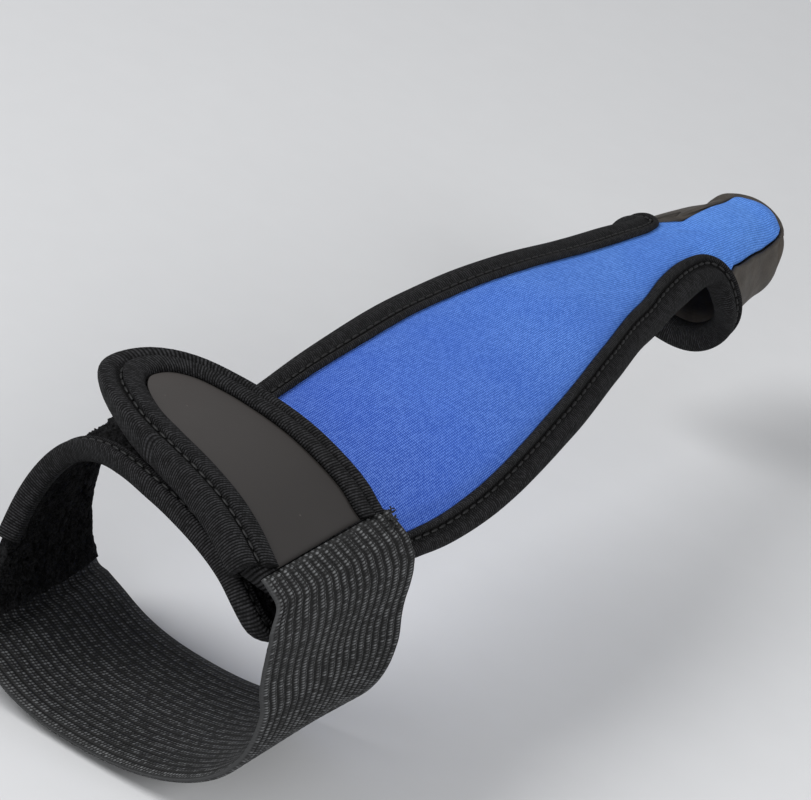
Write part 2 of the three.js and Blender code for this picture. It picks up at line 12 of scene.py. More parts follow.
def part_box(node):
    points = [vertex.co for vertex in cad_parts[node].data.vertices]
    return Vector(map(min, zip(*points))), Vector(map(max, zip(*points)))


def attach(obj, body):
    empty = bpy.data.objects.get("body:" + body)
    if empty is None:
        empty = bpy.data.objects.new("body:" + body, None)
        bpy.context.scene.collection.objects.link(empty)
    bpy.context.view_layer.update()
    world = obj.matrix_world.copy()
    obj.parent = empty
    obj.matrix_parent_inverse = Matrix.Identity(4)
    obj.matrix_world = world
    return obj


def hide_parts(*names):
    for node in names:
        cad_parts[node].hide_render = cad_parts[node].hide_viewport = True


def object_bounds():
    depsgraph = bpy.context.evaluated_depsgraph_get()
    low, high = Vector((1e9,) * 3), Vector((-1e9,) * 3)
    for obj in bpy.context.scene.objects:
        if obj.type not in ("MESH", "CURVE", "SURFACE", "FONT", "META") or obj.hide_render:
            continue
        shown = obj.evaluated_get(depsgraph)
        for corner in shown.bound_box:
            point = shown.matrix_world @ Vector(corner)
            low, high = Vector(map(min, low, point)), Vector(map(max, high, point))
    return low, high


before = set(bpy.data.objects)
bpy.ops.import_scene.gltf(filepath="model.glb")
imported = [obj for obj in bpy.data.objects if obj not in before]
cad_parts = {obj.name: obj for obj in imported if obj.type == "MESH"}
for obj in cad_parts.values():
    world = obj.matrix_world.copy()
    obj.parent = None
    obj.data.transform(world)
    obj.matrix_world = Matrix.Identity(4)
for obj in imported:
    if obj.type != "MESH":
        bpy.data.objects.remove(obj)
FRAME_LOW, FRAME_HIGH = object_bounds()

bl_info = {
    "name": "Single-Finger Glove",
    "version": (1, 0, 0),
    "blender": (4, 5, 0),
    "location": "View3D > Sidebar > Glove",
    "description": "Makes the cloth, leather, tapes and elastic of a single-finger glove round its frame",
    "category": "Object",
}

MM = 0.001
TURN = 2 * math.pi

# Lengths on the worn form and heights over it, in metres
PAD_TOP = 2.1 * MM
BAND_DISTAL_EDGE = 14 * MM
BAND_WIDTH = 33 * MM
STRAP_FLOOR = 0.5 * MM
RIM_WIDTH = 1.7 * MM
LINE_STEP = 0.75 * MM
TAB_LINE_STEP = 0.7 * MM

# How deep each cloth goes into its tape, and each tape's lip and sewn groove
EDGE_INSERT = 3.8 * MM
HEM_INSERT = 1.6 * MM
TAB_INSERT = 4.4 * MM
EDGE_GROOVE = 1.2 * MM
HEM_LIP = 1.1 * MM
HEM_GROOVE = 0.3 * MM
TAB_GROOVE = 0.4 * MM

# Points across a tape's lip
LIP_POINTS = 9

# Shares of its width that the edge tape loses at the stall's mouth, and on its underside as well
MOUTH_LOSS = 0.25
UNDER_LOSS = 0.13

# Crowns, tucked edges and curl of the soft pieces
PANEL_CROWN = 0.35 * MM
TIP_CROWN = 0.3 * MM
PANEL_TUCK = 0.6 * MM
WALL_LESS = 0.9 * MM
WELT = 0.35 * MM
PILE_HEIGHT = 0.28 * MM
TAB_SIDE = 4.5 * MM
CURL = 0.9 * MM

# Angles round the form, in degrees from +Z towards +X
SEAM_ANGLE = 40
SEAM_GAP = 0.6
TAB_END_ANGLE = 45.5
TIP_RISE = (-5, -70)
LAP = (222, 230.5)
THUMB_CORNER = 49.5
LITTLE_CORNER = 341
HEM_START = -100

# Radians that the leather goes round the stall
LEATHER_TURN = 4.6

# Raised double rim of the leather: start, width, height, steepness
RIM_BEADS = ((0, 1.3 * MM, 0.95 * MM, 0.7), (1.3 * MM, 1.6 * MM, 0.8 * MM, 0.8))

# Pitches of the weaves
KNIT_WALE = 0.40 * MM
KNIT_COURSE = 0.44 * MM
TAPE_RIB = 0.5 * MM
TAPE_YARN = 0.62 * MM
TAB_RIB = 0.6 * MM
ELASTIC_STITCH = 0.56 * MM

# The tables repeat the frame's own: lengths are shares, and angles are in degrees
# along, offset, rise, little, thumb, back, palm, square
SECTIONS = [
    (-0.337, 0, 0, 0.718, 1.065, 1.096, 1.096, 2.3), (-0.14, 0, 0, 0.639, 1, 1, 1, 2.3),
    (0, 0, 0, 0.639, 1, 1, 1, 2.3), (0.14, 0.077, 0.041, 0.796, 1.028, 1.053, 1.053, 2.3),
    (0.281, 0.308, 0.246, 0.949, 0.972, 1.009, 0.877, 2.2),
    (0.404, 0.538, 0.533, 0.88, 0.741, 0.789, 0.702, 2.15),
    (0.517, 0.769, 0.861, 0.671, 0.417, 0.526, 0.439, 2.1),
    (0.618, 0.892, 1, 0.37, 0.139, 0.237, 0.263, 2.1),
    (0.719, 0.938, 0.967, 0.231, 0.028, 0.105, 0.132, 2.1),
    (0.815, 0.969, 0.885, 0.116, 0, 0.026, 0.132, 2.1),
    (0.854, 0.977, 0.836, 0.083, -0.046, 0.026, 0.035, 2.1),
    (0.899, 0.985, 0.787, 0.037, -0.139, 0.009, -0.246, 2.1),
    (0.955, 1, 0.721, -0.023, -0.199, -0.035, -0.439, 2.1),
]
# along, around, width
LIP_LINE = [
    (0, 48.9, 0.68), (0.046, 49.7, 0.7), (0.096, 50.4, 0.78), (0.168, 49.7, 0.88),
    (0.25, 47.1, 0.95), (0.347, 45.5, 1), (0.453, 44.7, 1), (0.532, 43, 1), (0.592, 39.8, 1),
    (0.645, 32.4, 1), (0.702, 27, 1), (0.747, 28, 1), (0.769, 36, 0.95), (0.784, 49.5, 0.95),
    (0.796, 66, 1), (0.81, 82, 1), (0.822, 97, 1), (0.83, 116, 1), (0.834, 142, 1), (0.836, 175, 1),
    (0.833, 210, 1), (0.824, 245, 1), (0.811, 275, 1), (0.796, 300, 1), (0.783, 318, 0.95),
    (0.771, 333, 0.87), (0.753, 345, 0.85), (0.719, 350.6, 0.95), (0.652, 351.5, 1),
    (0.553, 351.1, 1), (0.463, 351.4, 1), (0.387, 350.1, 1), (0.308, 349.9, 0.95),
    (0.219, 351.8, 0.9), (0.133, 352.7, 0.78), (0.062, 354.4, 0.7), (0, 355.7, 0.68),
]
# along, around
THUMB_SEAM = [
    (0.808, 48.8), (0.854, 52.3), (0.9, 54), (0.94, 51),
]
# along, around
LITTLE_SEAM = [
    (0.79, -12.9), (0.83, -16.2), (0.889, -21), (0.932, -26),
]
# across, along
END_EDGE = [
    (0, 0.932), (0.08, 0.941), (0.215, 0.951), (0.42, 0.961), (0.6, 0.963), (0.85, 0.957),
    (1, 0.94),
]
# near, around
HEM_LINE = [
    (0.88, -128), (0.63, -90), (0.535, -55), (0.626, -29), (0.69, -16.5), (0.747, -4), (0.789, 6),
    (0.829, 15), (0.868, 25), (0.905, 35), (0.945, 45), (0.945, 51), (0.88, 54.2), (0.7, 54.6),
    (0.4, 54.6), (0.02, 54.6),
]
# along, around
TAB_LIP_LINE = [
    (0.193, SEAM_ANGLE - SEAM_GAP), (0.193, 37), (0.217, 31), (0.234, 22.5), (0.257, 12),
    (0.271, 2), (0.278, -8), (0.258, -16.6), (0.203, -22.4), (0.105, -25), (0.036, -23.6),
    (-0.03, -20), (-0.12, -11.5), (-0.18, -2.2), (-0.225, 5), (-0.28, 14), (-0.328, 22),
    (-0.384, 30), (-0.428, 36), (-0.448, SEAM_ANGLE - SEAM_GAP),
]
# around, centre, half, drop
STRAP_ROWS = [
    (SEAM_ANGLE, -0.137, 0.479, 0), (46.5, -0.108, 0.47, 0), (51, -0.09, 0.485, 0.25),
    (55, -0.072, 0.495, 0.53), (60, -0.063, 0.5, 0.95), (64, -0.06, 0.5, 1.25),
    (69, -0.057, 0.497, 1.7), (76, -0.048, 0.497, 1.92), (90, -0.02, 0.495, 2),
    (120, -0.02, 0.495, 2), (180, -0.04, 0.5, 2), (251, -0.055, 0.5, 2),
]

# How far the strap's near edge is pulled: degrees round, then millimetres along
SELVEDGE = ((40, 1.5), (46, 0), (53, -2.2), (64, -1.6), (85, 0))


def measure(name, description, millimetres):
    """A property for a length, with its default in millimetres"""
    return FloatProperty(name=name, description=description, default=millimetres * MM, unit="LENGTH")


class FormSizes(PropertyGroup):
    """Sizes of the worn form that carries every piece"""

    reach: FloatProperty(
        name="Reach", description="From the wrist's centre to the fingertip",
        default=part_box("finger_pad")[1][1] - PAD_TOP, unit="LENGTH")
    wrist_half_width: measure("Wrist half-width", "Centre of the wrist to its thumb side", 31.6)
    wrist_half_height: measure("Wrist half-height", "Centre of the wrist to its back", 21.4)
    finger_radius: measure("Finger radius", "Radius of the finger", 10)
    finger_offset: measure("Finger offset", "Sideways place of the finger", 6.5)
    knuckle_rise: measure("Knuckle rise", "Height of the knuckle's axis", 12.2)
    tip_length: measure("Tip length", "Length of the rounded fingertip", 8)


class ClothSizes(PropertyGroup):
    """Thicknesses of the cloths and the heights between them"""

    panel: measure("Panel", "Thickness of the blue cloth", 2.3)
    pad: measure("Leather", "Thickness of the leather", 1.6)
    band: measure("Band", "Thickness of the loop band", 2)
    band_lift: measure("Band lift", "Height of the loop band", 0.5)
    tab: measure("Tab", "Thickness of the tab's padding", 3)
    face: measure("Tab face", "Thickness of the tab's face", 0.5)
    strap: measure("Strap", "Thickness of the elastic", 1.4)
    hook: measure("Hook", "Thickness of the hook tape", 1.9)
    gap: measure("Gap", "Gap between layers", 0.3)


class TapeSizes(PropertyGroup):
    """Sizes of the binding tapes and their sewing"""

    thickness: measure("Tape", "Thickness of the binding tape", 0.8)
    hem_thickness: measure("Hem tape", "Thickness of the band's hem", 0.5)
    edge_width: measure("Edge width", "Width of the panel's tape", 6.5)
    edge_lip: measure("Edge lip", "Width of its inner lip", 2.3)
    tab_width: measure("Tab tape", "Width of the tab's tape", 5.9)
    tab_lip: measure("Tab lip", "Width of its inner lip", 2.7)
    hem_width: measure("Hem width", "Width of the band's hem", 3)
    stitch: measure("Stitch", "Length of one stitch", 2.2)


class StrapSizes(PropertyGroup):
    """Sizes of the closing tab and the elastic strap"""

    width: measure("Strap width", "Width of the elastic", 38)
    ribs: IntProperty(name="Ribs", description="Lengthwise ribs on the elastic", default=19, min=6)
    tab_width: measure("Tab width", "Width that the tab's outline is a share of", 36.5)
    stand_off: measure("Tip stand-off", "How far the tab's tip would leave the wrist", 9)


class GloveColours(PropertyGroup):
    """Colours of the materials"""

    wrist_blue: FloatVectorProperty(
        name="Blue at the wrist", description="Knit near the strap", subtype="COLOR", size=4,
        default=(0.013, 0.082, 0.55, 1))
    # The lighter blue at the finger is a painted highlight
    finger_blue_highlit: FloatVectorProperty(
        name="Blue at the finger", description="Knit near the fingertip", subtype="COLOR", size=4,
        default=(0.086, 0.32, 1.0, 1))
    leather: FloatVectorProperty(
        name="Leather", description="Stall and tip", subtype="COLOR", size=4,
        default=(0.046, 0.039, 0.032, 1))
    tape: FloatVectorProperty(
        name="Tape", description="Binding tapes", subtype="COLOR", size=4,
        default=(0.0028, 0.0028, 0.0030, 1))
    elastic: FloatVectorProperty(
        name="Elastic", description="Tops of the ribs", subtype="COLOR", size=4,
        default=(0.036, 0.037, 0.038, 1))
    rubber: FloatVectorProperty(
        name="Tab face", description="Bare face of the tab", subtype="COLOR", size=4,
        default=(0.037, 0.033, 0.031, 1))


class StageSettings(PropertyGroup):
    """Floor, light and camera"""

    azimuth: FloatProperty(
        name="Azimuth", description="Camera round the glove", default=math.radians(26.01), subtype="ANGLE")
    elevation: FloatProperty(
        name="Elevation", description="Camera above the floor", default=math.radians(29.36),
        subtype="ANGLE")
    roll: FloatProperty(
        name="Roll", description="Camera turned in its view", default=math.radians(16.38), subtype="ANGLE")
    distance: FloatProperty(
        name="Distance", description="Camera to the glove", default=0.7, unit="LENGTH")
    lens: FloatProperty(
        name="Lens", description="Focal length in millimetres", default=205.6, unit="CAMERA")
    floor_drop: measure("Floor", "Floor below the strap", 1)


def smooth_step(low, high, value):
    """0 below low, 1 above high and smooth between them"""
    share = np.clip((value - low) / (high - low), 0, 1)
    return share * share * (3 - 2 * share)


def smooth_column(keys, values, at):
    """Smooth values of a table's column, with no overshoot between its rows"""
    keys, values = np.asarray(keys, float), np.asarray(values, float)
    at = np.clip(at, keys[0], keys[-1])
    steps = np.diff(values) / np.diff(keys)
    slopes = np.zeros(len(keys))
    before, after = steps[:-1], steps[1:]
    rising = before * after > 0
    slopes[1:-1][rising] = 2 * before[rising] * after[rising] / (before[rising] + after[rising])
    row = np.clip(np.searchsorted(keys, at, side="right") - 1, 0, len(keys) - 2)
    span = keys[row + 1] - keys[row]
    share = (at - keys[row]) / span
    square, cube = share ** 2, share ** 3
    return (
        values[row] * (2 * cube - 3 * square + 1) + values[row + 1] * (3 * square - 2 * cube)
        + slopes[row] * span * (cube - 2 * square + share) + slopes[row + 1] * span * (cube - square))


def run_along(path):
    """Distance from a path's start to each of its places"""
    return np.concatenate(([0], np.cumsum(np.linalg.norm(np.diff(path, axis=0), axis=1))))


class WornForm:
    """The form that the glove is worn on: places on it are metres along and radians round"""

    def __init__(self, sizes):
        self.sizes = sizes
        self.tip_start = sizes.reach - sizes.tip_length
        self.pole = self.tip_start + sizes.tip_length * math.pi / 2
        self.girth = (sizes.wrist_half_width + sizes.finger_radius) / 2
        self.columns = dict(zip(
            ("along", "offset", "rise", "little", "thumb", "back", "palm", "square"), np.array(SECTIONS).T))

    def at(self, name, station):
        return smooth_column(self.columns["along"], self.columns[name], station)

    def point(self, along, around, lift):
        """Corners at a height over the form, rounded over its tip to the pole"""
        along, around, lift = np.broadcast_arrays(
            np.asarray(along, float), np.asarray(around, float), np.asarray(lift, float))
        sizes = self.sizes
        station = np.minimum(along, self.tip_start) / sizes.reach
        turn = math.pi / 2 * np.clip((along - self.tip_start) / (self.pole - self.tip_start), 0, 1)
        sine, cosine = np.sin(around), np.cos(around)
        side_share = np.where(sine > 0, self.at("thumb", station), self.at("little", station))
        height_share = np.where(cosine > 0, self.at("back", station), self.at("palm", station))
        side = sizes.finger_radius + (sizes.wrist_half_width - sizes.finger_radius) * side_share
        height = sizes.finger_radius + (sizes.wrist_half_height - sizes.finger_radius) * height_share
        square = self.at("square", station)
        spread = (np.abs(sine) ** square + np.abs(cosine) ** square) ** (-1 / square) * np.cos(turn)
        return np.stack((
            sizes.finger_offset * self.at("offset", station) + (side + lift) * sine * spread,
            np.minimum(along, self.tip_start) + (sizes.tip_length + lift) * np.sin(turn),
            sizes.knuckle_rise * self.at("rise", station) + (height + lift) * cosine * spread,
        ), -1)

    def scale(self, along, around):
        """Metres on the form for a metre along and for a radian round"""
        here = self.point(along, around, MM)
        step = 0.01
        ahead = np.linalg.norm(self.point(along + MM, around, MM) - here, axis=-1) / MM
        beside = np.linalg.norm(self.point(along, around + step, MM) - here, axis=-1) / step
        return ahead, beside

    def smooth_line(self, rows, step):
        """Evenly spaced places on a smooth curve through rows of along, around and width"""
        rows = np.array([(row[0], row[1], row[2] if len(row) > 2 else 1) for row in rows])
        knots = rows * (1 / MM, self.girth / MM, 1)
        padded = np.vstack((2 * knots[0] - knots[1], knots, 2 * knots[-1] - knots[-2]))
        pieces = []
        for index in range(len(knots) - 1):
            before, start, end, after = padded[index:index + 4]
            first, span, last = (
                np.linalg.norm(b - a) ** 0.5 for a, b in ((before, start), (start, end), (end, after)))
            leave = (start - before) / first - (end - before) / (first + span) + (end - start) / span
            arrive = (end - start) / span - (after - start) / (span + last) + (after - end) / last
            share = np.linspace(0, 1, 24, endpoint=False)[:, None]
            square, cube = share ** 2, share ** 3
            pieces.append(
                start * (2 * cube - 3 * square + 1) + end * (3 * square - 2 * cube)
                + leave * span * (cube - 2 * square + share) + arrive * span * (cube - square))
        curve = np.vstack(pieces + [knots[-1:]])
        run = run_along(curve)
        count = max(int(round(run[-1] * MM / step)), 2)
        even = np.linspace(0, run[-1], count + 1)
        line = np.stack([np.interp(even, run, column) for column in curve.T], 1)
        return line * (MM, MM / self.girth, 1)

    def sideways(self, line, distance):
        """A line's places moved over the form by distances, away from its cloth if positive"""
        step = np.linalg.norm(self.point(line[1, 0], line[1, 1], 0) - self.point(line[0, 0], line[0, 1], 0))
        window = max(int(round(3 * MM / step)), 1)
        index = np.arange(len(line))
        before = line[np.maximum(index - window, 0)]
        after = line[np.minimum(index + window, len(line) - 1)]
        ahead, beside = self.scale(line[:, 0], line[:, 1])
        run, turn = (after - before)[:, 0] * ahead, (after - before)[:, 1] * beside
        length = np.hypot(run, turn)
        moved = np.atleast_2d(distance) * line[:, 2:3]
        along = line[:, 0:1] - moved * (turn / length / ahead)[:, None]
        around = line[:, 1:2] + moved * (run / length / beside)[:, None]
        return along, around


class Pattern:
    """Lines and heights that the pieces share, worked out from the glove's sizes"""

    def __init__(self, scene):
        self.cloth, self.tape, self.strap = scene.glove_cloth, scene.glove_tape, scene.glove_strap
        self.form = WornForm(scene.glove_form)
        cloth, tape, form = self.cloth, self.tape, self.form
        self.panel_start = BAND_DISTAL_EDGE + cloth.gap
        self.band_top = cloth.band_lift + cloth.band + cloth.gap
        self.edge_top = cloth.panel + cloth.gap + tape.thickness * 1.1
        hem_top = self.band_top + tape.hem_thickness * 1.1
        self.over_tape = max(self.edge_top, hem_top) + cloth.gap
        self.tab_lift = max(
            self.band_top + cloth.hook + cloth.gap,
            max(self.edge_top, hem_top) + tape.thickness + 2 * cloth.gap)
        self.face_lift = self.tab_lift + cloth.tab + cloth.gap

        self.lip = form.smooth_line([self.panel_place(*row) for row in LIP_LINE], LINE_STEP)
        at_mouth = smooth_step(0.70, 0.82, self.lip[:, 0] / scene.glove_form.reach)
        degrees = np.degrees(self.lip[:, 1])
        under = smooth_step(70, 110, degrees) * smooth_step(300, 270, degrees)
        self.lip[:, 2] *= 1 - MOUTH_LOSS * at_mouth - UNDER_LOSS * under
        along, around = form.sideways(self.lip, EDGE_INSERT)
        held = np.hstack((along, around))
        far = (self.lip[:, 0] > scene.glove_form.reach / 2) & (self.lip[:, 1] > math.radians(THUMB_CORNER))
        thumb_corner = int(np.argmax(far))
        little_corner = int(np.argmax(self.lip[:, 1] > math.radians(LITTLE_CORNER)))
        thumb_seam = [self.panel_place(*row)[:2] for row in THUMB_SEAM]
        little_seam = [self.panel_place(*row)[:2] for row in LITTLE_SEAM]
        self.thumb_chain = np.vstack((held[:thumb_corner + 1], thumb_seam))
        self.little_chain = np.vstack((held[little_corner:][::-1] - (0, TURN), little_seam))
        self.mouth = held[thumb_corner:little_corner + 1]
        self.hem = form.smooth_line([
            (BAND_DISTAL_EDGE - near * BAND_WIDTH, math.radians(around)) for near, around in HEM_LINE
        ], LINE_STEP)
        self.tab_line = form.smooth_line([
            (along * self.strap.tab_width, math.radians(around)) for along, around in TAB_LIP_LINE
        ], TAB_LINE_STEP)

    def panel_place(self, along, around, width=1):
        """A place of the panel from its table's share and degrees"""
        return (self.panel_start + along * (self.form.pole - self.panel_start), math.radians(around), width)

    @staticmethod
    def side(chain, along):
        """Angle round of a side of the panel"""
        return np.interp(along, np.maximum.accumulate(chain[:, 0]), chain[:, 1])

    def panel_end(self, across):
        """Where the panel ends near the tip"""
        end = self.panel_place(smooth_column(*zip(*END_EDGE), across), 0)[0]
        return end - RIM_WIDTH * smooth_step(0, 0.22, np.minimum(across, 1 - across))

    def tip_rise(self, around):
        """How far the tab's free end stands off"""
        start, end = (-math.radians(angle) for angle in TIP_RISE)
        return self.strap.stand_off * smooth_step(start, end, -np.asarray(around))

    def strap_row(self, angle):
        """Centre, half-width and height of the strap at an angle in degrees"""
        rows = np.array(STRAP_ROWS, float).T
        centre = smooth_column(rows[0], rows[1], angle) * self.strap.width
        half = smooth_column(rows[0], rows[2], angle) * self.strap.width
        drop = smooth_column(rows[0], rows[3], angle)
        on_tape = self.face_lift + (self.over_tape - self.face_lift) * np.minimum(drop, 1)
        fall = on_tape + (STRAP_FLOOR - on_tape) * np.maximum(drop - 1, 0)
        return centre, half, fall + (self.band_top - fall) * smooth_step(*LAP, angle)


def new_object(name, bm):
    """A smooth mesh object at the origin from a bmesh, which is freed"""
    mesh = bpy.data.meshes.new(name)
    bm.to_mesh(mesh)
    bm.free()
    mesh.shade_smooth()
    piece = bpy.data.objects.new(name, mesh)
    bpy.context.scene.collection.objects.link(piece)
    return piece


def laid_grid(name, rows, columns, lay, keep=None, capped=False, joined=False):
    """A grid laid on the form. lay gives corners and weave places for shares across and along"""
    bm = bmesh.new()
    bmesh.ops.create_grid(bm, x_segments=columns, y_segments=rows, size=0.5)
    if keep:
        out = [face for face in bm.faces if not keep(*(face.calc_center_median().xy + Vector((0.5, 0.5))))]
        bmesh.ops.delete(bm, geom=out, context="FACES")
    across = np.array([vert.co.x for vert in bm.verts]) + 0.5
    along = np.array([vert.co.y for vert in bm.verts]) + 0.5
    corners, weave = lay(across, along)
    layer = bm.loops.layers.uv.new("weave")
    for vert, corner, spot in zip(bm.verts, corners, weave):
        vert.co = corner
        for loop in vert.link_loops:
            loop[layer].uv = spot
    if joined:
        bmesh.ops.remove_doubles(bm, verts=bm.verts, dist=0.004 * MM)
    if capped:
        rim = [edge for edge in bm.edges if edge.is_boundary]
        bmesh.ops.holes_fill(bm, edges=rim, sides=0)
    bmesh.ops.recalc_face_normals(bm, faces=bm.faces)
    return new_object(name, bm)


def thicken(piece, thickness):
    """Gives a grid its wall, inwards from its outer face"""
    wall = piece.modifiers.new("wall", "SOLIDIFY")
    wall.thickness = thickness
    wall.offset = -1
    wall.use_even_offset = False
    outward = piece.data.polygons
    centre = np.mean([face.center for face in outward], axis=0)
    facing = sum((Vector(face.center) - Vector(centre)).dot(face.normal) * face.area for face in outward)
    if facing < 0:
        piece.data.flip_normals()


def finish_piece(piece, slot, material, *nodes):
    """Stands a piece in for its frame nodes, with its finish. The slot is not used"""
    piece.data.materials.append(material)
    if nodes:
        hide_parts(*nodes)
    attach(piece, "root")


def closed_sweep(name, corners, weave):
    """A closed tube from rows of corners round a section, with its ends capped"""
    count, sides = corners.shape[:2]

    def lay(across, along):
        column = np.rint(across * sides).astype(int)
        row = np.rint(along * (count - 1)).astype(int)
        spots = weave[row, np.minimum(column, sides)]
        return corners[row, column % sides], spots

    return laid_grid(name, count - 1, sides, lay, capped=True, joined=True)


def tape_profile(tape, cloth, under, lip, groove, width, insert, back, gap, rise, steep):
    """Outline of a folded tape in steps across and up: inner lip, sewn groove, roll and slot"""
    top, bottom, slot = under + cloth + gap, under - gap, insert + gap
    roll_top, roll_bottom = top + tape, bottom - tape
    floor = top + tape * 0.15
    points = [(0, top)]
    for share in np.linspace(0.04, 0.96, LIP_POINTS):
        points.append((lip * share, floor + tape * (0.85 + rise) * math.sin(math.pi * share) ** steep))
    points += [(lip, floor), (lip + groove, floor)]
    half, tall = (width - lip - groove) / 2, (roll_top - roll_bottom) / 2
    middle = (roll_top + roll_bottom) / 2
    for angle in np.radians(np.linspace(158, -90, 22)):
        cosine, sine = math.cos(angle), math.sin(angle)
        across = lip + groove + half + half * math.copysign(abs(cosine) ** 0.85, cosine)
        up = middle + (tall + tape * 0.1 * (sine > 0)) * math.copysign(abs(sine) ** 0.8, sine)
        if cosine < 0.3 and sine > 0:
            up = max(up, floor)
        points.append((across, up))
    points += [(back + 0.3 * tape, roll_bottom), (back, bottom - 0.4 * tape), (back, bottom)]
    return np.array(points + [(slot, bottom), (slot, top)])


def tape_piece(pattern, name, line, profile, raised=None):
    """A binding tape swept along a line of the pattern"""
    form = pattern.form
    along, around = form.sideways(line, profile[:, 0])
    lift = profile[:, 1] + (raised(around) if raised else 0)
    corners = form.point(along, around, lift)
    spine = corners[:, LIP_POINTS // 2]
    run = run_along(spine)
    girth = run_along(np.vstack((profile, profile[:1])))
    girth = girth - girth[LIP_POINTS + 1:LIP_POINTS + 3].mean()
    weave = np.stack(np.broadcast_arrays(girth[None, :], run[:, None]), -1)
    return closed_sweep(name, corners, weave)


def stitch_row(pattern, name, line, across, lift, pitch, radius, raised=None):
    """Stitches laid end to end on a line"""
    form = pattern.form
    along, around = form.sideways(line, [across])
    along, around = along[:, 0], around[:, 0]
    rise = lift + (raised(around) if raised else 0)
    path = form.point(along, around, rise)
    over = form.point(along, around, rise + MM)
    run = run_along(path)
    bm = bmesh.new()
    for place in np.arange(pitch, run[-1] - pitch / 2, pitch):
        before, spot, after = (
            Vector([np.interp(at, run, column) for column in path.T])
            for at in (place - MM, place, place + MM))
        top = Vector([np.interp(place, run, column) for column in over.T])
        forward, up = (after - before).normalized(), (top - spot).normalized()
        beside = forward.cross(up).normalized()
        turn = Matrix((beside * radius, up * radius, forward * (pitch * 0.42))).transposed().to_4x4()
        bmesh.ops.create_uvsphere(
            bm, u_segments=6, v_segments=5, radius=1, matrix=Matrix.Translation(spot) @ turn)
    return new_object(name, bm)


def thread_ends(pattern, name, starts, length, radius, seed):
    """Loose thread ends, bent at random from places on the glove"""
    draw = np.random.default_rng(seed)
    bm = bmesh.new()
    for along, angle, lift in starts:
        place = Vector(pattern.form.point(along, math.radians(angle), lift))
        above = Vector(pattern.form.point(along, math.radians(angle), lift + MM))
        up = (above - place).normalized()
        heading = (Vector(draw.normal(0, 1, 3)) * 0.7 + Vector((0.2, 1, 0)) + up * 0.25).normalized()
        bend = Vector(draw.normal(0, 0.35, 3))
        joints = 6
        for joint in range(joints):
            step = heading * (length / joints)
            turn = heading.to_track_quat("Z", "Y").to_matrix().to_4x4()
            bmesh.ops.create_cone(
                bm, segments=5, radius1=radius, radius2=radius, depth=length / joints * 1.15, cap_ends=True,
                matrix=Matrix.Translation(place + step / 2) @ turn)
            place = place + step
            heading = (heading + bend * 0.5 - up * 0.12).normalized()
    return new_object(name, bm)


class Signal:
    """A shader number that takes part in Python expressions"""

    def __init__(self, finish, socket):
        self.finish, self.socket = finish, socket

    def __add__(self, other):
        return self.finish.math("ADD", self, other)

    def __sub__(self, other):
        return self.finish.math("SUBTRACT", self, other)

    def __rsub__(self, other):
        return self.finish.math("SUBTRACT", other, self)

    def __mul__(self, other):
        return self.finish.math("MULTIPLY", self, other)

    def __truediv__(self, other):
        return self.finish.math("DIVIDE", self, other)

    def __rtruediv__(self, other):
        return self.finish.math("DIVIDE", other, self)

    def __pow__(self, other):
        return self.finish.math("POWER", self, other)

    def __rpow__(self, other):
        return self.finish.math("POWER", other, self)

    def __abs__(self):
        return self.finish.math("ABSOLUTE", self)

    __radd__ = __add__
    __rmul__ = __mul__

    def floor(self):
        return self.finish.math("FLOOR", self)

    def fraction(self):
        return self.finish.math("FRACT", self)

    def arch(self):
        """0 at the ends of each whole step and 1 at its middle"""
        return self.finish.math("SINE", self.fraction() * math.pi)

    def wave(self):
        """Between 0 and 1, once up and down over each whole step"""
        return self.finish.math("SINE", self * TURN) * 0.5 + 0.5

    def ramp(self, low, high):
        """0 at low to 1 at high"""
        return self.finish.math("MULTIPLY", self - low, 1 / (high - low), clamp=True)


